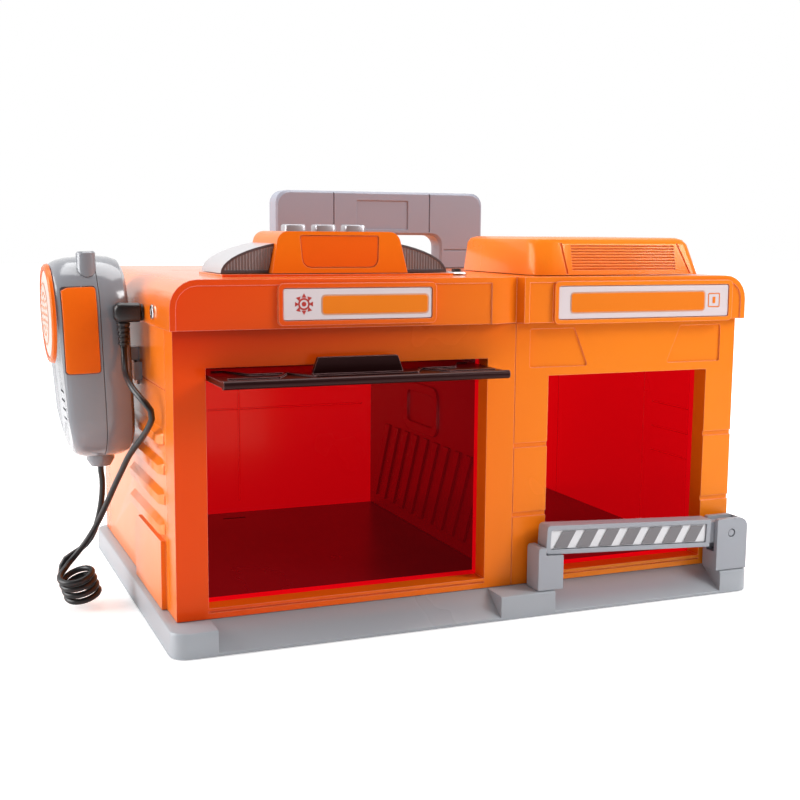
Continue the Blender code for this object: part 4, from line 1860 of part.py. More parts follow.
def cord():
    """The handset's cord: two free stretches and the coil between them."""
    coil = coil_points()
    entry = (coil[0] - coil[1]).normalized()
    leaving = (coil[-1] - coil[-2]).normalized()
    start = Vector((RELIEF_X, JACK_Y, RELIEF_BOTTOM - FIT))
    down = Vector((0, 0, -1))
    meet = coil[0] + entry * FIT
    upper = [start, start + down * 3 * MM]
    upper += [Vector(p) * MM for p in UPPER_ROUTE]
    upper += [meet + entry * 4 * MM, meet]
    tube("cord_upper", square_ends(smooth_route(upper, POINT_SPACING), down, -entry), 2)
    tube("cord_coil", coil, 1)
    swing = Matrix.Rotation(-HANDSET_TILT, 3, "Y")
    boss_low = Vector((BOSS_X, HANDSET_Y, HANDSET_BOTTOM - BOSS_LENGTH)) - handset_frame()
    axis = swing @ Vector((0, 0, -1))
    end = handset_frame() + swing @ boss_low + axis * FIT
    begin = coil[-1] + leaving * FIT
    lower = [begin, begin + leaving * 4 * MM]
    lower += [Vector(p) * MM for p in LOWER_ROUTE]
    lower += [end + axis * 4 * MM, end]
    tube("cord_lower", square_ends(smooth_route(lower, POINT_SPACING), leaving, -axis), 2)
    gap = least_self_gap(coil)
    print("coil least gap to itself", round(gap * 1000, 3), "mm")


def square_ends(points, first, last):
    """Adds a straight run of one tube diameter at each end, square to what it meets."""
    run = 2 * CORD_RADIUS
    inner = [p for p in points[1:-1]
             if (p - points[0]).length > 1.6 * run and (p - points[-1]).length > 1.6 * run]
    return [points[0], points[0] + first * run] + inner + [points[-1] - last * run, points[-1]]


def least_self_gap(points):
    """The least free gap between a coil's own turns, measured on its points."""
    nearest = 1.0
    skip = COIL_POINTS // 2
    for i, a in enumerate(points):
        for b in points[i + skip:]:
            nearest = min(nearest, (a - b).length)
    return nearest - 2 * CORD_RADIUS


base_tray()
base_bottom_plate()
front_wall_service()
front_wall_parking()
left_wall()
right_wall()
rear_wall()
partition_wall()
roof_shell()
sign_boards()
console_housing()
console_panel()
sound_board()
button_rubber_pad()
console_buttons()
beacon_lenses()
beacon_leds()
vent_housing()
battery_box()
batteries()
battery_cover()
loudspeaker()
carry_handle()
power_switch()
mic_jack_socket()
aux_socket_ring()
mic_plug()
door_track("door_track_left", -HOUSE_HALF + WALL, 1)
door_track("door_track_right", PARTITION_LEFT, -1)
door_rod()
service_door()
barrier_post()
barrier_pivot_pin()
barrier_arm()
barrier_rest_post()
handset_shells()
handset_grips()
handset_face()
handset_antenna()
handset_cord_boss()
handset_microphone()
handset_clip()
handset_hook()
cord()
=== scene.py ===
"""Studio picture of a two-bay toy garage with its wired handset."""

import math

import bmesh
import bpy
from mathutils import Matrix, Vector


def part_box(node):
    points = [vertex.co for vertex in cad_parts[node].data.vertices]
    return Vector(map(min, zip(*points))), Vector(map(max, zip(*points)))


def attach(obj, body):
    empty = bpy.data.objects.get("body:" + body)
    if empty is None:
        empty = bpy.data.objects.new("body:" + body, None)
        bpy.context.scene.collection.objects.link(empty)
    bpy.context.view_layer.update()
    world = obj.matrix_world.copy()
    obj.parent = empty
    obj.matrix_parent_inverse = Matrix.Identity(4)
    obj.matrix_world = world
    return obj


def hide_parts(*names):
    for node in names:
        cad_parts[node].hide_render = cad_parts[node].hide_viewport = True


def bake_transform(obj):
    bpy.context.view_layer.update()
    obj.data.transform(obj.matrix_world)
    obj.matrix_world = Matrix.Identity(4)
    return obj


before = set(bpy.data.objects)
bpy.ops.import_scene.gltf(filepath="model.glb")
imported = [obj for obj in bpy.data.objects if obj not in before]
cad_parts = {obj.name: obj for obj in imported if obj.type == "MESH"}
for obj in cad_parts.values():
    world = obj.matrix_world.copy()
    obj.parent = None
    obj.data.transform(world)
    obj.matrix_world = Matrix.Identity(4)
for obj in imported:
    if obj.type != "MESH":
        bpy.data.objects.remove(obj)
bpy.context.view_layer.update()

MM = 0.001
bpy.ops.object.select_all(action="DESELECT")

# Camera.
# It stands a little left of the front and just above the roof, as in the photograph.
CAMERA_PLACE = (-0.26142, -0.62711, 0.18891)
CAMERA_YAW = math.radians(22.38)
CAMERA_PITCH = math.radians(7.86)
CAMERA_ROLL = math.radians(0.46)
CAMERA_LENS = 55.19

ahead = Vector((math.sin(CAMERA_YAW) * math.cos(CAMERA_PITCH), math.cos(CAMERA_YAW) * math.cos(CAMERA_PITCH),
                -math.sin(CAMERA_PITCH)))
level = Vector((math.cos(CAMERA_YAW), -math.sin(CAMERA_YAW), 0))
above = level.cross(ahead)
turned_level = level * math.cos(CAMERA_ROLL) + above * math.sin(CAMERA_ROLL)
turned_above = above * math.cos(CAMERA_ROLL) - level * math.sin(CAMERA_ROLL)
bpy.ops.object.camera_add()
eye = bpy.context.object
eye.data.lens = CAMERA_LENS
eye.data.sensor_width = 36
eye.data.clip_start = 0.01
eye.matrix_world = (Matrix.Translation(CAMERA_PLACE)
                    @ Matrix((turned_level, turned_above, -ahead)).transposed().to_4x4())
bpy.context.scene.camera = eye

# The handset's cord.
# A black 3 mm cord of satin rubber leaves the ribbed relief of its plug on the left wall, hangs down the
# side, coils nearly four times on the floor and climbs to the boss under the handset.
CORD_RADIUS = 1.5 * MM
CORD_RINGS = 12
COIL_CENTRE = Vector((-179.8, -11.2, 4.9)) * MM
COIL_RADIUS = 8 * MM
COIL_PITCH = 3.7 * MM
COIL_TURNS = 3.792
COIL_START = math.radians(135)
COIL_POINTS = 24
COIL_LEAN = (-0.33, -0.20, 1.0)
RELIEF_FOOT = Vector((-161.4, -37.5, 132.8)) * MM
UPPER_ROUTE = (
    (-162.2, -44.0, 122.0), (-162.1, -53.0, 118.2), (-161.1, -60.0, 114.9), (-158.9, -66.0, 111.5),
    (-156.2, -69.2, 108.0), (-154.8, -70.0, 104.6), (-155.0, -68.6, 101.3), (-155.9, -64.0, 97.0),
    (-157.3, -57.0, 91.8), (-161.3, -47.0, 82.6), (-163.7, -38.0, 73.4), (-165.8, -29.0, 64.4),
    (-168.5, -20.0, 53.7), (-170.9, -12.0, 44.5), (-173.8, -6.5, 36.7), (-177.4, -3.0, 29.9),
    (-181.9, -1.9, 24.0),
)
LOWER_ROUTE = (
    (-185.3, 1.3, 7.0), (-188.3, 2.8, 10.9), (-189.0, 3.2, 16.0), (-186.2, 3.1, 21.3),
    (-180.7, 3.0, 24.4), (-175.6, 2.4, 28.6), (-172.4, 1.4, 34.0), (-170.3, 0.0, 40.9),
    (-168.9, -2.0, 48.8), (-168.2, -3.6, 56.5), (-168.3, -4.9, 63.0),
)
EDGE_GLINT = 0.5 * MM
EDGE_TURN = (0.99, 0.8)
FLOW_SCALE = 14
PEEL_HEIGHT = 0.2 * MM
# How the painted pale highlight on softened edges changes their colour.
HIGHLIGHT_SATURATION = 0.72
HIGHLIGHT_VALUE = 1.5
SCUFF = 0.18
COAT_ROUGHNESS = 0.08
CORD_STEP = 4 * MM
CURVE_STEPS = 20
CORD_IN_RELIEF = 0.5 * MM
RELIEF_DROP = Vector((0, 0, -3.4)) * MM
CORD_IN_BOSS = 0.4 * MM
BOSS_DROP = Vector((0.05, 0, -3.2)) * MM
COIL_RUN_IN = (6.5 * MM, 3.0 * MM)
COIL_RUN_OUT = (3.0 * MM, 6.2 * MM)


def shader_group(name, inputs, outputs):
    """An empty shader node group with named sockets, and its two end nodes."""
    tree = bpy.data.node_groups.new(name, "ShaderNodeTree")
    for socket, kind, value in inputs:
        made = tree.interface.new_socket(socket, in_out="INPUT", socket_type=kind)
        made.default_value = value
    for socket, kind in outputs:
        tree.interface.new_socket(socket, in_out="OUTPUT", socket_type=kind)
    return tree, tree.nodes.new("NodeGroupInput"), tree.nodes.new("NodeGroupOutput")


def feed(tree, node, inputs):
    """Gives each input of a node its value, or a link where a socket stands for the value."""
    for slot, given in inputs.items():
        if isinstance(given, bpy.types.NodeSocket):
            tree.links.new(given, node.inputs[slot])
        else:
            node.inputs[slot].default_value = given


def add(tree, kind, inputs=(), **settings):
    """A shader node with its settings and inputs."""
    node = tree.nodes.new("ShaderNode" + kind)
    for setting, value in settings.items():
        setattr(node, setting, value)
    feed(tree, node, dict(inputs))
    return node


def maths(tree, operation, *terms):
    """The outcome of one sum on values or sockets."""
    return add(tree, "Math", dict(enumerate(terms)), operation=operation).outputs[0]


def mixed(tree, share, under, over):
    """Two colours mixed, with the second one's share."""
    return add(tree, "Mix", {"Factor": share, "A": under, "B": over}, data_type="RGBA").outputs["Result"]


def split(tree, vector):
    """The X, Y and Z outputs of a vector."""
    return add(tree, "SeparateXYZ", {0: vector}).outputs


def moulded_skin():
    """Moulded plastic: flow shading over the piece, fine orange peel, softened edges with a painted pale
    highlight.
    """
    tree, given, made = shader_group("moulded_skin", (
        ("Colour", "NodeSocketColor", (1, 1, 1, 1)), ("Flow", "NodeSocketFloat", 0.06),
        ("Peel Scale", "NodeSocketFloat", 700.0), ("Peel Depth", "NodeSocketFloat", 0.03),
        ("Gloss", "NodeSocketFloat", 0.3), ("Edge Highlight", "NodeSocketFloat", 0.25),
    ), (("Colour", "NodeSocketColor"), ("Roughness", "NodeSocketFloat"), ("Normal", "NodeSocketVector"),
        ("Edge", "NodeSocketFloat")))
    place = add(tree, "TexCoord").outputs["Object"]
    flow = add(tree, "TexNoise", {"Vector": place, "Scale": FLOW_SCALE, "Detail": 3})
    centred = maths(tree, "SUBTRACT", flow.outputs["Fac"], 0.5)
    value = maths(tree, "MULTIPLY_ADD", centred, given.outputs["Flow"], 1.0)
    shade = add(tree, "HueSaturation", {"Color": given.outputs["Colour"], "Value": value}).outputs["Color"]
    peel = add(tree, "TexNoise", {"Vector": place, "Scale": given.outputs["Peel Scale"], "Detail": 2})
    rounded = add(tree, "Bevel", {"Radius": EDGE_GLINT}, samples=4).outputs["Normal"]
    bump = add(tree, "Bump", {"Distance": PEEL_HEIGHT, "Strength": given.outputs["Peel Depth"],
                              "Height": peel.outputs["Fac"], "Normal": rounded})
    flat = add(tree, "NewGeometry").outputs["Normal"]
    along = add(tree, "VectorMath", {0: rounded, 1: flat}, operation="DOT_PRODUCT").outputs["Value"]
    edge = add(tree, "MapRange", {"Value": along, "From Min": EDGE_TURN[0],
                                  "From Max": EDGE_TURN[1]}).outputs["Result"]
    # Painted highlight: the edges turn paler by the share that the finish asks for.
    highlight_share = maths(tree, "MULTIPLY", edge, given.outputs["Edge Highlight"])
    highlight_colour = add(tree, "HueSaturation", {"Color": shade, "Saturation": HIGHLIGHT_SATURATION,
                                         "Value": HIGHLIGHT_VALUE}).outputs["Color"]
    feed(tree, made, {
        "Colour": mixed(tree, highlight_share, shade, highlight_colour), "Edge": edge, "Normal": bump.outputs["Normal"],
        "Roughness": maths(tree, "MULTIPLY_ADD", centred, SCUFF, given.outputs["Gloss"]),
    })
    return tree


SKIN = moulded_skin()


# Each finish says how strongly its edges take the painted pale highlight.
def plastic(name, colour, gloss=0.3, peel=0.03, scale=700.0, edge_highlight=0.5, metallic=0.0, clear=0.0, coat=0.0,
            sheen=(1, 1, 1)):
    """A finish on the moulded skin, from matt rubber to gloss and to clear plastic."""
    finish = bpy.data.materials.new(name)
    finish.use_nodes = True
    tree = finish.node_tree
    skin = add(tree, "Group", node_tree=SKIN)
    feed(tree, skin, {"Colour": (*colour, 1), "Peel Scale": scale, "Peel Depth": peel, "Gloss": gloss,
                      "Edge Highlight": edge_highlight})
    feed(tree, tree.nodes["Principled BSDF"], {
        "Base Color": skin.outputs["Colour"], "Roughness": skin.outputs["Roughness"],
        "Normal": skin.outputs["Normal"], "Metallic": metallic, "Transmission Weight": clear,
        "Coat Weight": coat, "Coat Roughness": COAT_ROUGHNESS, "Specular Tint": (*sheen, 1),
    })
    return finish


def skin_of(finish):
    """The moulded skin's node in a finish."""
    return next(node for node in finish.node_tree.nodes if node.type == "GROUP" and node.node_tree == SKIN)


def base_colour(finish):
    """The socket that a finish takes its colour from."""
    return finish.node_tree.nodes["Principled BSDF"].inputs["Base Color"].links[0].from_socket


def smooth_route(points, spacing):
    """Evenly spaced points on a smooth curve through route points."""
    fine = []
    line = [points[0] * 2 - points[1]] + points + [points[-1] * 2 - points[-2]]
    for k in range(1, len(line) - 2):
        a, b, c, d = line[k - 1:k + 3]
        for step in range(CURVE_STEPS):
            t = step / CURVE_STEPS
            fine.append(0.5 * (2 * b + (c - a) * t + (2 * a - 5 * b + 4 * c - d) * t * t
                               + (3 * b - a - 3 * c + d) * t ** 3))
    fine.append(points[-1])
    even = [fine[0]]
    for point in fine:
        if (point - even[-1]).length >= spacing:
            even.append(point)
    if (even[-1] - fine[-1]).length > spacing / 3:
        even.append(fine[-1])
    return even


def coil_points():
    """The coil's centre line, from its top turn to its bottom one."""
    up = Vector(COIL_LEAN).normalized()
    ahead = (Vector((1, 0, 0)) - up * up.x).normalized()
    across = up.cross(ahead)
    count = round(COIL_TURNS * COIL_POINTS)
    points = []
    for k in range(count + 1):
        angle = COIL_START + 2 * math.pi * COIL_TURNS * k / count
        height = COIL_PITCH * COIL_TURNS * (1 - k / count)
        spoke = ahead * math.cos(angle) + across * math.sin(angle)
        points.append(COIL_CENTRE + up * height + spoke * COIL_RADIUS)
    return points


def tube(name, points, finish, as_mesh=False):
    """A round cord along its points."""
    curve = bpy.data.curves.new(name, "CURVE")
    curve.dimensions = "3D"
    curve.bevel_depth = CORD_RADIUS
    curve.bevel_resolution = CORD_RINGS // 4
    curve.use_fill_caps = True
    spline = curve.splines.new("POLY")
    spline.points.add(len(points) - 1)
    for place, point in zip(spline.points, points):
        place.co = (*point, 1.0)
    spline.use_smooth = True
    curve.materials.append(finish)
    cord = bpy.data.objects.new(name, curve)
    bpy.context.scene.collection.objects.link(cord)
    if as_mesh:
        bpy.context.view_layer.update()
        mesh = bpy.data.meshes.new_from_object(cord)
        bpy.data.objects.remove(cord)
        cord = bpy.data.objects.new(name, mesh)
        bpy.context.scene.collection.objects.link(cord)
    return cord, sum((b - a).length for a, b in zip(points, points[1:]))


CORD = plastic("cord_black", (0.010, 0.009, 0.010), gloss=0.32, peel=0.06, scale=1500)
turns = coil_points()
entry = (turns[0] - turns[1]).normalized()
leaving = (turns[-1] - turns[-2]).normalized()
low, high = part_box("plug_relief")
start = Vector((RELIEF_FOOT.x, RELIEF_FOOT.y, low[2] + CORD_IN_RELIEF))
upper = [start, start + RELIEF_DROP] + [Vector(p) * MM for p in UPPER_ROUTE]
upper.append(turns[0] + entry * COIL_RUN_IN[0])
route = smooth_route(upper, CORD_STEP) + [turns[0] + entry * COIL_RUN_IN[1]]
main, length = tube("handset_cord", route + turns, CORD)
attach(main, "garage")
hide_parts("cord_upper", "cord_coil")
low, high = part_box("handset_cord_boss")
end = Vector(((low[0] + high[0]) / 2, (low[1] + high[1]) / 2, low[2] + CORD_IN_BOSS))
lower = [turns[-1] + leaving * away for away in COIL_RUN_OUT]
lower += [Vector(p) * MM for p in LOWER_ROUTE] + [end + BOSS_DROP, end]
rest = [turns[-1]] + smooth_route(lower, CORD_STEP)
last, length = tube("handset_cord_end", rest, CORD, as_mesh=True)
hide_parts("cord_lower")
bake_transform(last)

# The base.
# A light grey moulded tray that the house stands on, closed by a flat plate. In front it has an apron
# between raised end blocks. Inside the bays its floor looks dark red, because only red light reaches it;
# that red and a faint glow are painted onto the floor there.
GREY_COLOUR = (0.37, 0.39, 0.42)
# Painted light: the floor inside the bays is tinted dark red and glows faintly.
BAY_LIGHT_MAROON = (0.085, 0.002, 0.004)
BAY_LOW = Vector((-148.9, -83.5, 11.0)) * MM
BAY_HIGH = Vector((148.9, 103.4, 166.3)) * MM
BAY_BORDER = 0.4 * MM
PAINTED_FLOOR_GLOW = 0.35
FACES_DOWN = -0.1
LINE_SHADE = 0.25
SOFT_ANGLE = math.radians(35)
WELD_DISTANCE = 0.002 * MM


def bay_mask():
    """One inside the box of the two bays, nought outside it, with a narrow soft border."""
    tree, given, made = shader_group("bay_mask", (("Border", "NodeSocketFloat", BAY_BORDER),),
                                     (("Inside", "NodeSocketFloat"),))
    place = add(tree, "TexCoord").outputs["Object"]
    centre = [(a + b) / 2 for a, b in zip(BAY_LOW, BAY_HIGH)]
    half = [(b - a) / 2 for a, b in zip(BAY_LOW, BAY_HIGH)]
    moved = add(tree, "VectorMath", {0: place, 1: centre}, operation="SUBTRACT").outputs[0]
    reach = add(tree, "VectorMath", {0: moved}, operation="ABSOLUTE").outputs[0]
    past = split(tree, add(tree, "VectorMath", {0: reach, 1: half}, operation="SUBTRACT").outputs[0])
    most = maths(tree, "MAXIMUM", maths(tree, "MAXIMUM", past["X"], past["Y"]), past["Z"])
    step = add(tree, "MapRange", {"Value": most, "From Min": 0, "From Max": given.outputs["Border"],
                                  "To Min": 1, "To Max": 0})
    feed(tree, made, {"Inside": step.outputs["Result"]})
    return tree


BAY = bay_mask()


def paint_bay_light(finish, colour, painted_glow, from_below=False):
    """Paints light inside the bays: a red tint that glows, darker along the edges, standing in for light
    that passes through the plastic.
    """
    tree = finish.node_tree
    inside = add(tree, "Group", {"Border": BAY_BORDER}, node_tree=BAY).outputs["Inside"]
    if from_below:
        flat = add(tree, "NewGeometry").outputs["True Normal"]
        under = maths(tree, "LESS_THAN", split(tree, flat)["Z"], FACES_DOWN)
        inside = maths(tree, "MULTIPLY", under, inside)
    line = [c * LINE_SHADE for c in colour]
    lined = mixed(tree, skin_of(finish).outputs["Edge"], (*colour, 1), (*line, 1))
    feed(tree, tree.nodes["Principled BSDF"], {
        "Base Color": mixed(tree, inside, base_colour(finish), lined),
        "Emission Color": mixed(tree, inside, (0, 0, 0, 1), lined), "Emission Strength": painted_glow,
    })


def soft_shading():
    """Shades flat-faceted curves as one surface and keeps real edges sharp."""
    tree = bpy.data.node_groups.new("soft_shading", "GeometryNodeTree")
    tree.interface.new_socket("Geometry", in_out="INPUT", socket_type="NodeSocketGeometry")
    tree.interface.new_socket("Geometry", in_out="OUTPUT", socket_type="NodeSocketGeometry")
    nodes, link = tree.nodes, tree.links.new
    given, made = nodes.new("NodeGroupInput"), nodes.new("NodeGroupOutput")
    weld = nodes.new("GeometryNodeMergeByDistance")
    weld.inputs["Distance"].default_value = WELD_DISTANCE
    faces = nodes.new("GeometryNodeSetShadeSmooth")
    faces.domain = "FACE"
    edges = nodes.new("GeometryNodeSetShadeSmooth")
    edges.domain = "EDGE"
    angle = nodes.new("GeometryNodeInputMeshEdgeAngle")
    soft = nodes.new("FunctionNodeCompare")
    soft.data_type = "FLOAT"
    soft.operation = "LESS_THAN"
    soft.inputs[1].default_value = SOFT_ANGLE
    link(given.outputs[0], weld.inputs["Geometry"])
    link(weld.outputs["Geometry"], faces.inputs["Geometry"])
    link(faces.outputs["Geometry"], edges.inputs["Geometry"])
    link(angle.outputs["Unsigned Angle"], soft.inputs[0])
    link(soft.outputs["Result"], edges.inputs["Shade Smooth"])
    link(edges.outputs["Geometry"], made.inputs[0])
    return tree


SMOOTHING = soft_shading()


def dress(finish, *names):
    """Gives a finish to solids whose shape stays, and lets their curves shade smoothly."""
    for name in names:
        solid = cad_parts[name]
        solid.data.materials.clear()
        solid.data.materials.append(finish)
        solid.modifiers.new("soft_shading", "NODES").node_group = SMOOTHING


BASE = plastic("base_grey", GREY_COLOUR, gloss=0.3, peel=0.06)
paint_bay_light(BASE, BAY_LIGHT_MAROON, PAINTED_FLOOR_GLOW)
dress(BASE, "base_tray")
dress(plastic("base_plate_grey", (0.30, 0.31, 0.33), gloss=0.42, peel=0.1), "base_bottom_plate")

# Screws under the base.
# Zinc-plated cross-head screws hold the bottom plate to the tray's posts. Their heads are sunk just below
# the plate's face, so they never touch the floor.
SCREW_RADIUS = 2.4 * MM
SCREW_HEAD = 0.9 * MM
CROSS_LENGTH = 3.2 * MM
CROSS_WIDTH = 0.7 * MM
CROSS_DEPTH = 0.6 * MM
RIM_ROUNDING = 0.3 * MM
SCREW_SINK = 0.3 * MM
SCREW_COLUMNS = (-138, 0, 138)
SCREW_ROWS = (-69.5, 0, 90.5)
STEEL = plastic("bright_metal", (0.70, 0.70, 0.71), gloss=0.18, peel=0.02, metallic=1.0, edge_highlight=0.1)


def pick_edges(thing, wanted):
    """Selects the edges of a mesh in edit mode whose two ends pass a test."""
    bpy.ops.object.mode_set(mode="EDIT")
    body = bmesh.from_edit_mesh(thing.data)
    for edge in body.edges:
        edge.select_set(wanted(*(v.co for v in edge.verts)))
    bmesh.update_edit_mesh(thing.data)


def cube(low, high):
    """A box between two corners, with its size in its mesh."""
    middle = [(a + b) / 2 for a, b in zip(low, high)]
    bpy.ops.mesh.primitive_cube_add(size=1, location=middle)
    thing = bpy.context.object
    thing.scale = [b - a for a, b in zip(low, high)]
    bpy.ops.object.transform_apply(location=True, rotation=True, scale=True)
    return thing


def joined(pieces):
    """Several meshes as one object."""
    bpy.ops.object.select_all(action="DESELECT")
    for thing in pieces:
        thing.select_set(True)
    bpy.context.view_layer.objects.active = pieces[0]
    bpy.ops.object.join()
    return bpy.context.object


def cut_away(thing, cutter):
    """Cuts one mesh out of another and removes the cutter."""
    change = thing.modifiers.new("cut", "BOOLEAN")
    change.operation = "DIFFERENCE"
    change.solver = "EXACT"
    change.object = cutter
    bpy.ops.object.select_all(action="DESELECT")
    bpy.context.view_layer.objects.active = thing
    bpy.ops.object.modifier_apply(modifier=change.name)
    bpy.data.objects.remove(cutter)


def settle(thing, name, finish, body):
    """Names a finished piece, gives it its finish and lets it ride on its body."""
    thing.name = name
    thing.data.name = name
    thing.data.materials.clear()
    thing.data.materials.append(finish)
    bpy.ops.object.select_all(action="DESELECT")
    thing.select_set(True)
    bpy.context.view_layer.objects.active = thing
    bpy.ops.object.transform_apply(location=True, rotation=True, scale=True)
    bpy.ops.object.shade_smooth_by_angle(angle=SOFT_ANGLE)
    thing.select_set(False)
    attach(thing, body)


def cross_head(centre, upwards):
    """One screw head with a softened rim and a cross sunk in its face."""
    side = 1 if upwards else -1
    bpy.ops.mesh.primitive_cylinder_add(vertices=28, radius=SCREW_RADIUS, depth=SCREW_HEAD)
    head = bpy.context.object
    rim = side * SCREW_HEAD / 2
    pick_edges(head, lambda a, b: abs(a.z - rim) < 1e-6 and abs(b.z - rim) < 1e-6)
    bpy.ops.mesh.bevel(offset=RIM_ROUNDING, segments=3, affect="EDGES")
    bpy.ops.object.mode_set(mode="OBJECT")
    faces = sorted((rim, rim - side * CROSS_DEPTH))
    faces[1 if upwards else 0] += side * CROSS_DEPTH
    for across, along in ((CROSS_LENGTH, CROSS_WIDTH), (CROSS_WIDTH, CROSS_LENGTH)):
        cut_away(head, cube((-across / 2, -along / 2, faces[0]), (across / 2, along / 2, faces[1])))
    head.location = centre
    return head


screw_places = [(x * MM, y * MM) for x in SCREW_COLUMNS for y in SCREW_ROWS if x or y]
for count, (x, y) in enumerate(screw_places, 1):
    head = cross_head((x, y, SCREW_SINK + SCREW_HEAD / 2), False)
    settle(head, "base_screw_" + str(count), STEEL, "garage")

# The walls.
# Glossy orange mouldings with slats, ribs and panels: two portal fronts, two sides, the rear and a
# partition. Light that passes through them makes the bays glow deep red, the partition least; that red and
# glow are painted in. The fronts carry painted shade, darker to the left and red under the eave, and the
# side walls a slightly lighter, painted lit orange.
ORANGE_COLOUR = (0.86, 0.165, 0.004)
# Painted shade and light on the fronts: darker to the left, lighter to the right, red shadow under the eave.
SHADED_FRONT_COLOUR = (0.76, 0.050, 0.001)
LIT_FRONT_COLOUR = (0.91, 0.225, 0.010)
WARM_SHEEN = (1.0, 0.50, 0.22)
EAVE_SHADOW_RED = (0.55, 0.012, 0.001)
# Painted light inside the bays: a glowing red tint, darker and dimmer on the partition, which lies in shade.
BAY_LIGHT_RED = (0.72, 0.0012, 0.006)
SHADED_RED = (0.20, 0.002, 0.005)
PAINTED_WALL_GLOW = 0.43
PAINTED_SHADED_GLOW = 0.3
SHADE_LEFT = -160 * MM
SHADE_RIGHT = 100 * MM
EAVE_FOOT = 122 * MM
EAVE_TOP = 148 * MM
EAVE_SHARE = 0.9
FRONT_FACES = (-0.05, -0.9)


def paint_front_light_and_shade(finish, left, right, eave_shadow=False):
    """Painted light and shade: faces that look to the front run from a deep, shaded colour at the left end
    to a lighter, lit one at the right, and under the eave to a red painted shadow."""
    tree = finish.node_tree
    skin = skin_of(finish)
    place = split(tree, add(tree, "TexCoord").outputs["Object"])
    along = add(tree, "MapRange", {"Value": place["X"], "From Min": SHADE_LEFT, "From Max": SHADE_RIGHT},
                interpolation_type="SMOOTHSTEP").outputs["Result"]
    painted_run = mixed(tree, along, (*left, 1), (*right, 1))
    if eave_shadow:
        height = add(tree, "MapRange", {"Value": place["Z"], "From Min": EAVE_FOOT, "From Max": EAVE_TOP},
                     interpolation_type="SMOOTHSTEP").outputs["Result"]
        fading = maths(tree, "MULTIPLY_ADD", along, -EAVE_SHARE, EAVE_SHARE)
        painted_run = mixed(tree, maths(tree, "MULTIPLY", height, fading), painted_run, (*EAVE_SHADOW_RED, 1))
    flat = add(tree, "NewGeometry").outputs["Normal"]
    facing = add(tree, "MapRange", {"Value": split(tree, flat)["Y"], "From Min": FRONT_FACES[0],
                                    "From Max": FRONT_FACES[1]}, interpolation_type="SMOOTHSTEP")
    plain = tuple(skin.inputs["Colour"].default_value)
    feed(tree, skin, {"Colour": mixed(tree, facing.outputs["Result"], plain, painted_run)})


FRONT = plastic("front_orange", ORANGE_COLOUR, gloss=0.24, coat=0.08, sheen=WARM_SHEEN)
paint_front_light_and_shade(FRONT, SHADED_FRONT_COLOUR, LIT_FRONT_COLOUR, eave_shadow=True)
paint_bay_light(FRONT, BAY_LIGHT_RED, PAINTED_WALL_GLOW)
dress(FRONT, "front_wall_service", "front_wall_parking", "rear_wall")
# The side walls take a slightly lighter orange than the fronts: painted light.
SIDE = plastic("side_orange", (0.87, 0.185, 0.006), gloss=0.3, coat=0.3, sheen=(1.0, 0.72, 0.5))
paint_bay_light(SIDE, BAY_LIGHT_RED, PAINTED_WALL_GLOW)
dress(SIDE, "left_wall", "right_wall")
PARTITION = plastic("partition_orange", ORANGE_COLOUR, gloss=0.24)
paint_bay_light(PARTITION, SHADED_RED, PAINTED_SHADED_GLOW)
dress(PARTITION, "partition_wall")

# The roof.
# One orange moulding with round edges, a fascia over each bay and a low plinth under the console. Its top
# mirrors the bright surroundings at the flat angle that it is seen from. Its front faces carry painted
# shade, darker to the left, its edges a strong painted highlight, and its faces that look down into the
# bays a painted red glow.
ROOF = plastic("roof_orange", ORANGE_COLOUR, gloss=0.22, edge_highlight=0.95, coat=0.35, sheen=WARM_SHEEN)
paint_front_light_and_shade(ROOF, SHADED_FRONT_COLOUR, LIT_FRONT_COLOUR)
paint_bay_light(ROOF, BAY_LIGHT_RED, PAINTED_WALL_GLOW, from_below=True)
dress(ROOF, "roof_shell")

# The sign boards.
# White plastic boards set into the fascias, printed with an orange bar in a pale border. The left one has
# a plain sun and the right one a plain square.
INK = 0.08 * MM
BAR_BORDER = 0.65 * MM
SUN_RADIUS = 4.6 * MM
SUN_CENTRE = (-91.2 * MM, 155.8 * MM)
SUN_RAYS = 8
RAY_SIZE = 0.29 * SUN_RADIUS
RAY_REACH = 0.78 * SUN_RADIUS
SUN_INK = 1.5 * INK
SUN_RINGS = ((0.60 * SUN_RADIUS, 0.42 * SUN_RADIUS), (0.24 * SUN_RADIUS, 0.0))
BARS = {
    "sign_board_service": (-82.4, 151.2, -30.4, 159.4),
    "sign_board_parking": (46.9, 149.6, 125.6, 159.0),
}
BAR_ROUNDING = 1.5 * MM
BORDER_ROUNDING = 2.0 * MM
SQUARE_CENTRE = (131.6 * MM, 154.6 * MM)
SQUARE_HALF = 3.7 * MM
SQUARE_LINE = 0.6 * MM
SQUARE_ROUNDING = 0.8 * MM
STEM_HALF = (0.9 * MM, 1.7 * MM)
STEM_ROUNDING = 0.3 * MM
BOARD_WHITE = plastic("board_white", (0.72, 0.62, 0.63), gloss=0.25)
INK_ORANGE = plastic("ink_orange", (0.84, 0.20, 0.012), gloss=0.3, peel=0.01, sheen=WARM_SHEEN)
INK_RED = plastic("ink_red", (0.50, 0.03, 0.02), gloss=0.3, peel=0.01)
INK_PALE = plastic("ink_pale", (0.66, 0.34, 0.22), gloss=0.3, peel=0.01)
dress(BOARD_WHITE, "sign_board_service", "sign_board_parking")


def print_block(left, low, right, high, face, thick, rounding):
    """A thin block of ink on a face that looks to the front, with round corners."""
    thing = cube((left, face - thick, low), (right, face + INK / 2, high))
    if rounding:
        pick_edges(thing, lambda a, b: abs(a.y - b.y) > INK / 2)
        bpy.ops.mesh.bevel(offset=rounding, segments=5, affect="EDGES")
        bpy.ops.object.mode_set(mode="OBJECT")
    return thing


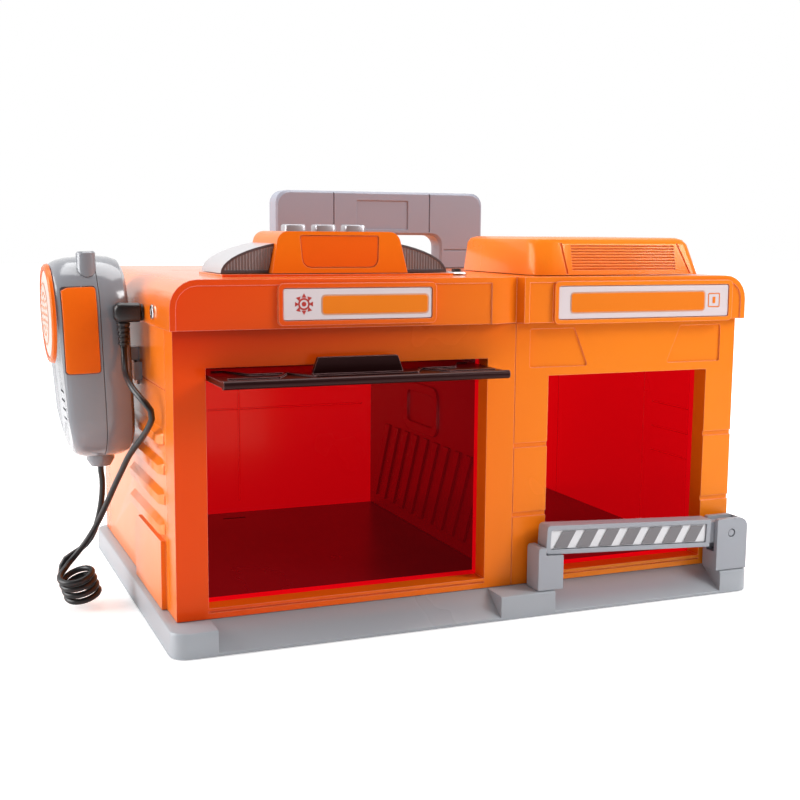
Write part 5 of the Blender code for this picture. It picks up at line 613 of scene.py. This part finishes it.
def ink_disc(sides, radius, thick, turn, place):
    """A thin disc or triangle that looks to the front, turned about its own centre."""
    bpy.ops.mesh.primitive_cylinder_add(vertices=sides, radius=radius, depth=thick,
                                        rotation=(math.pi / 2, -turn, 0))
    disc = bpy.context.object
    bpy.ops.object.transform_apply(rotation=True)
    disc.location = place
    bpy.ops.object.transform_apply(location=True)
    return disc


for board, bar in BARS.items():
    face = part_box(board)[0][1]
    left, low, right, high = (v * MM for v in bar)
    border = print_block(left - BAR_BORDER, low - BAR_BORDER, right + BAR_BORDER, high + BAR_BORDER, face,
                         INK, BORDER_ROUNDING)
    settle(border, board + "_border", INK_PALE, "garage")
    bar = print_block(left, low, right, high, face, 2 * INK, BAR_ROUNDING)
    settle(bar, board + "_bar", INK_ORANGE, "garage")
sun_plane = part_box("sign_board_service")[0][1] - INK / 4
sun = []
for k in range(SUN_RAYS):
    turn = 2 * math.pi * k / SUN_RAYS
    place = (SUN_CENTRE[0] + RAY_REACH * math.sin(turn), sun_plane,
             SUN_CENTRE[1] + RAY_REACH * math.cos(turn))
    sun.append(ink_disc(3, RAY_SIZE, SUN_INK, turn, place))
sun_place = (SUN_CENTRE[0], sun_plane, SUN_CENTRE[1])
for outer, inner in SUN_RINGS:
    ring = ink_disc(32, outer, SUN_INK, 0, sun_place)
    if inner:
        cut_away(ring, ink_disc(32, inner, MM, 0, sun_place))
    sun.append(ring)
settle(joined(sun), "sign_sun", INK_RED, "garage")
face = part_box("sign_board_parking")[0][1]
x, z = SQUARE_CENTRE
square = print_block(x - SQUARE_HALF, z - SQUARE_HALF, x + SQUARE_HALF, z + SQUARE_HALF, face, INK,
                     SQUARE_ROUNDING)
inner = SQUARE_HALF - SQUARE_LINE
cut_away(square, cube((x - inner, face - MM, z - inner), (x + inner, face + MM, z + inner)))
stem = print_block(x - STEM_HALF[0], z - STEM_HALF[1], x + STEM_HALF[0], z + STEM_HALF[1], face, INK,
                   STEM_ROUNDING)
settle(joined([square, stem]), "sign_square", INK_ORANGE, "garage")

# The sound console.
# An orange housing with a sunk front panel, screwed on the plinth. Three silvered buttons stand in its
# top, over a rubber pad and a small circuit board.
ORANGE = plastic("orange_plastic", ORANGE_COLOUR, gloss=0.26, sheen=WARM_SHEEN)
PANEL = plastic("panel_orange", (0.84, 0.12, 0.004), gloss=0.2, coat=0.3, sheen=WARM_SHEEN)
SILVER = plastic("silver_plastic", (0.42, 0.42, 0.45), gloss=0.28, peel=0.04, metallic=0.5)
dress(ORANGE, "console_housing")
dress(PANEL, "console_panel")
dress(SILVER, "console_button_left", "console_button_middle", "console_button_right")
dress(plastic("pad_rubber", (0.10, 0.10, 0.11), gloss=0.7, peel=0.12), "button_rubber_pad")
dress(plastic("board_green", (0.02, 0.16, 0.06), gloss=0.4), "sound_board")

# The warning lights.
# Quarter barrels of smoky plastic on both sides of the console. Their round tops are painted pale, as they
# look against the light, and their finely ribbed flat ends are painted dark with shade, their rims with a
# pale highlight. A red diode stands under each.
# Painted light and shade on the smoky plastic: a lit pale tone and a shaded dark one.
SMOKE_LIT = (0.46, 0.44, 0.455)
SMOKE_SHADED = (0.085, 0.065, 0.070)
END_FACES = (-0.6, -0.9)


def paint_end_shade(finish, front):
    """Faces that look straight to the front take a darker colour: painted shade on the ribbed end."""
    tree = finish.node_tree
    flat = add(tree, "NewGeometry").outputs["True Normal"]
    facing = add(tree, "MapRange", {"Value": split(tree, flat)["Y"], "From Min": END_FACES[0],
                                    "From Max": END_FACES[1]})
    shaded = mixed(tree, facing.outputs["Result"], base_colour(finish), (*front, 1))
    feed(tree, tree.nodes["Principled BSDF"], {"Base Color": shaded})


LENS = plastic("smoky_lens", SMOKE_LIT, gloss=0.26, peel=0.01, coat=0.1, edge_highlight=0.9)
paint_end_shade(LENS, SMOKE_SHADED)
dress(LENS, "beacon_lens_left", "beacon_lens_right")
dress(plastic("diode_red", (0.85, 0.04, 0.02), gloss=0.1, clear=0.5), "beacon_led_left", "beacon_led_right")

# The vent housing.
# A rounded orange box with fine louvres in front. Under the hatch in its top lie three cells in a black
# box, and a small loudspeaker sits behind the louvres. One screw holds the hatch.
SCREW_FROM_EDGE = 5 * MM
VENT = plastic("vent_orange", (0.92, 0.215, 0.010), gloss=0.26, coat=0.2, sheen=WARM_SHEEN)
BLACK = plastic("black_plastic", (0.012, 0.009, 0.009), gloss=0.34, peel=0.05)
dress(VENT, "vent_housing", "battery_cover")
dress(BLACK, "battery_box", "loudspeaker")
CELL = plastic("cell_sleeve", (0.30, 0.24, 0.06), gloss=0.25, metallic=0.4)
dress(CELL, "battery_1", "battery_2", "battery_3")
low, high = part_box("battery_cover")
head = cross_head(((low[0] + high[0]) / 2, high[1] - SCREW_FROM_EDGE, high[2] - SCREW_HEAD / 2), True)
settle(head, "battery_cover_screw", STEEL, "garage")

# The switch and the sockets.
# A bright plate with a sliding black knob on the roof, a bright socket ring and the black microphone jack
# with its angled plug on the left skirt. The plug's relief is ribbed rubber.
dress(STEEL, "power_switch_plate", "aux_socket_ring", "plug_tip")
dress(BLACK, "power_switch_knob", "mic_jack_socket", "mic_plug", "plug_relief")

# The carry handle.
# A flat grey bow with round corners, moulded in one with its two legs. Shallow lines part its grip from
# its legs.
HANDLE = plastic("handle_grey", (0.335, 0.35, 0.42), gloss=0.34, peel=0.06)
dress(HANDLE, "carry_handle")

# The up-and-over door.
# Dark smoky plastic with a raised grip bar and thin raised lines that catch the light, shown by a painted
# highlight on their edges. It lies open under the lintel, on a steel rod that runs in two dark tracks.


def paint_edge_highlight(finish, colour):
    """Edges take a painted highlight colour, standing in for the light caught in the rims of clear plastic.
    """
    tree = finish.node_tree
    lined = mixed(tree, skin_of(finish).outputs["Edge"], base_colour(finish), (*colour, 1))
    feed(tree, tree.nodes["Principled BSDF"], {"Base Color": lined})


DOOR = plastic("door_smoke", (0.012, 0.002, 0.002), gloss=0.30, peel=0.03, sheen=(0.6, 0.3, 0.3))
# Painted highlight on the door's edges and raised lines.
paint_edge_highlight(DOOR, (0.42, 0.24, 0.24))
dress(DOOR, "service_door")
LINE_WIDTH = 1.6 * MM
LINE_PROUD = 0.8 * MM
LINE_SINK = 0.3 * MM
LINE_ROUNDING = 0.25 * MM
LINE_ROUTE = ((-98.8, -96.5), (-90.0, -111.5), (-40.8, -111.5), (-32.0, -96.5))
DOOR_FACE = 124.1 * MM
strips = []
for (x0, y0), (x1, y1) in zip(LINE_ROUTE, LINE_ROUTE[1:]):
    reach = math.hypot(x1 - x0, y1 - y0) * MM / 2 + LINE_WIDTH / 2
    strip = cube((-reach, -LINE_WIDTH / 2, -LINE_SINK), (reach, LINE_WIDTH / 2, LINE_PROUD))
    pick_edges(strip, lambda a, b: min(a.z, b.z) > 0)
    bpy.ops.mesh.bevel(offset=LINE_ROUNDING, segments=2, affect="EDGES")
    bpy.ops.object.mode_set(mode="OBJECT")
    strip.rotation_euler.z = math.atan2(y1 - y0, x1 - x0)
    strip.location = ((x0 + x1) / 2 * MM, (y0 + y1) / 2 * MM, DOOR_FACE)
    bpy.ops.object.transform_apply(location=True, rotation=True)
    strips.append(strip)
settle(joined(strips), "door_middle_line", DOOR, "door")
dress(STEEL, "door_rod")
TRACK = plastic("track_grey", (0.09, 0.08, 0.08), gloss=0.45, peel=0.06)
dress(TRACK, "door_track_left", "door_track_right")

# The gate.
# A steel-grey arm between a post with two cheeks and a rest post. A white plate in the arm's long recess
# is printed with slanted dark stripes.
GATE_PIVOT = Vector((142.5, -102.5, 32.0)) * MM
GATE_TILT = math.radians(2.8)
STRIPE_COUNT = 7
STRIPE_LEAN = 4.5 * MM
STRIPE_FIRST = 36.4 * MM
STRIPE_PITCH = 12.82 * MM
STRIPE_WIDTH = 7.69 * MM
STRIPE_FOOT = 27.75 * MM
STRIPE_HEAD = 36.25 * MM
GATE_GREY = plastic("gate_grey", (0.34, 0.355, 0.39), gloss=0.36, peel=0.06)
dress(GATE_GREY, "barrier_arm", "barrier_post", "barrier_rest_post", "barrier_pivot_pin")
dress(plastic("stripe_white", (0.72, 0.72, 0.74), gloss=0.3), "barrier_stripe_plate")
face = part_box("barrier_stripe_plate")[0][1]
stripes = []
for k in range(STRIPE_COUNT):
    x = STRIPE_FIRST + k * STRIPE_PITCH
    stripe = cube((x, face - INK, STRIPE_FOOT), (x + STRIPE_WIDTH, face + INK, STRIPE_HEAD))
    pick_edges(stripe, lambda a, b: a.z > STRIPE_HEAD - MM and b.z > STRIPE_HEAD - MM)
    bpy.ops.transform.translate(value=(STRIPE_LEAN, 0, 0))
    bpy.ops.object.mode_set(mode="OBJECT")
    stripes.append(stripe)
stripes = joined(stripes)
stripes.data.transform(Matrix.Translation(GATE_PIVOT) @ Matrix.Rotation(GATE_TILT, 4, "Y")
                       @ Matrix.Translation(-GATE_PIVOT))
STRIPE_GREY = plastic("stripe_grey", (0.19, 0.18, 0.19), gloss=0.35)
settle(stripes, "gate_stripes", STRIPE_GREY, "gate")

# The handset.
# Two glossy grey half shells with an orange ring round a pale disc, orange grips in both sides, a stub
# antenna and a clip that hangs in a staple on the left wall. The right grip is the talk button.
SHELL = plastic("shell_grey", (0.225, 0.232, 0.255), gloss=0.2, coat=0.7)
HANDSET_ORANGE = plastic("handset_orange", (0.82, 0.13, 0.005), gloss=0.22, sheen=WARM_SHEEN)
dress(SHELL, "handset_front_shell", "handset_back_shell", "handset_antenna", "handset_cord_boss",
      "handset_clip", "handset_hook")
dress(HANDSET_ORANGE, "handset_face_ring", "handset_side_grip", "handset_talk_button")
DISC_PALE = plastic("disc_pale", (0.68, 0.52, 0.45), gloss=0.28)
dress(DISC_PALE, "handset_speaker_disc")
dress(STEEL, "handset_microphone")

# The print on the handset's disc.
# A thin orange circle round rings of small dots, printed on the pale disc.
DOT_RADIUS = 0.75 * MM
DOT_RINGS = ((0.0, 1), (3.4 * MM, 6), (6.8 * MM, 12), (10.2 * MM, 18))
CIRCLE_RADIUS = 15.0 * MM
CIRCLE_LINE = 0.35 * MM
OUTER_FACES = -0.9
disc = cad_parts["handset_speaker_disc"]
faces = [f for f in disc.data.polygons if f.normal.x < OUTER_FACES]
area = sum(f.area for f in faces)
outward = sum((f.normal * f.area for f in faces), Vector()).normalized()
level = max(f.center.dot(outward) for f in faces)
centre = sum((f.center * f.area for f in faces), Vector()) / area
centre += outward * (level - centre.dot(outward))
turn = outward.to_track_quat("Z", "Y").to_matrix().to_4x4()
prints = []
bpy.ops.mesh.primitive_torus_add(major_segments=64, minor_segments=6, major_radius=CIRCLE_RADIUS,
                                 minor_radius=CIRCLE_LINE)
bpy.context.object.scale.z = INK / CIRCLE_LINE
bpy.ops.object.transform_apply(scale=True)
prints.append(bpy.context.object)
for ring, count in DOT_RINGS:
    for k in range(count):
        angle = 2 * math.pi * k / count
        bpy.ops.mesh.primitive_cylinder_add(vertices=12, radius=DOT_RADIUS, depth=2 * INK,
                                            location=(ring * math.cos(angle), ring * math.sin(angle), 0))
        bpy.ops.object.transform_apply(location=True)
        prints.append(bpy.context.object)
disc_print = joined(prints)
disc_print.data.transform(disc.matrix_world @ Matrix.Translation(centre) @ turn)
settle(disc_print, "handset_disc_print", INK_ORANGE, "handset")

# The floor.
# A pale floor that keeps the object's soft shadow and fades into the white behind it.
FLOOR_HALF = 6.0
FLOOR_DROP = 0.4 * MM
FADE_START = 0.25
FADE_END = 0.9
SHADOW_LIFT = 0.42
finish = bpy.data.materials.new("floor")
finish.use_nodes = True
tree = finish.node_tree
away = add(tree, "VectorMath", {0: add(tree, "TexCoord").outputs["Object"]}, operation="LENGTH")
fade = add(tree, "MapRange", {"Value": away.outputs["Value"], "From Min": FADE_START, "From Max": FADE_END,
                              "To Min": SHADOW_LIFT, "To Max": 1.0}, interpolation_type="SMOOTHSTEP")
seen = add(tree, "LightPath").outputs["Is Camera Ray"]
feed(tree, tree.nodes["Principled BSDF"], {
    "Base Color": (0.93, 0.93, 0.94, 1), "Roughness": 0.5, "Emission Color": (1, 1, 1, 1),
    "Emission Strength": maths(tree, "MULTIPLY", seen, fade.outputs["Result"]),
})
mesh = bpy.data.meshes.new("floor")
corners = [(x * FLOOR_HALF, y * FLOOR_HALF, -FLOOR_DROP) for x, y in ((-1, -1), (1, -1), (1, 1), (-1, 1))]
mesh.from_pydata(corners, [], [(0, 1, 2, 3)])
mesh.materials.append(finish)
ground = bpy.data.objects.new("floor", mesh)
bpy.context.scene.collection.objects.link(ground)

# The light.
# Soft boxes on the left, overhead and near the right front. The surroundings are white behind the object
# and dim in front of it, so that the fronts keep a deep colour.


def area_light(name, place, target, size, energy):
    """One soft box that looks at a point."""
    lamp = bpy.data.lights.new(name, "AREA")
    lamp.shape = "RECTANGLE"
    lamp.size, lamp.size_y = size
    lamp.energy = energy
    thing = bpy.data.objects.new(name, lamp)
    thing.location = place
    thing.rotation_euler = (Vector(target) - Vector(place)).to_track_quat("-Z", "Y").to_euler()
    bpy.context.scene.collection.objects.link(thing)


DIM_FRONT = 0.12
FRONT_TO_BACK = (-0.2, 0.7)
SURROUND_LIGHT = 0.42
area_light("left_box", (-1.2, 0.25, 0.5), (0, 0, 0.08), (0.8, 0.9), 15)
area_light("right_box", (0.85, -0.75, 0.75), (0.10, 0, 0.10), (0.5, 0.5), 9)
area_light("top_box", (0.1, 0.2, 1.3), (0, 0, 0), (1.2, 0.9), 13)
world = bpy.data.worlds.new("world")
bpy.context.scene.world = world
world.use_nodes = True
tree = world.node_tree
facing = split(tree, add(tree, "TexCoord").outputs["Generated"])["Y"]
behind = add(tree, "MapRange", {"Value": facing, "From Min": FRONT_TO_BACK[0], "From Max": FRONT_TO_BACK[1],
                                "To Min": DIM_FRONT, "To Max": 1.0}).outputs["Result"]
path = add(tree, "LightPath").outputs
seen = maths(tree, "MAXIMUM", path["Is Camera Ray"], path["Is Transmission Ray"])
mirrored = add(tree, "Mix", {"Factor": path["Is Glossy Ray"], "A": SURROUND_LIGHT,
                             "B": behind}).outputs["Result"]
strength = add(tree, "Mix", {"Factor": seen, "A": mirrored, "B": 1.0}).outputs["Result"]
feed(tree, tree.nodes["Background"], {"Color": (1, 1, 1, 1), "Strength": strength})
bpy.context.scene.view_settings.view_transform = "Standard"
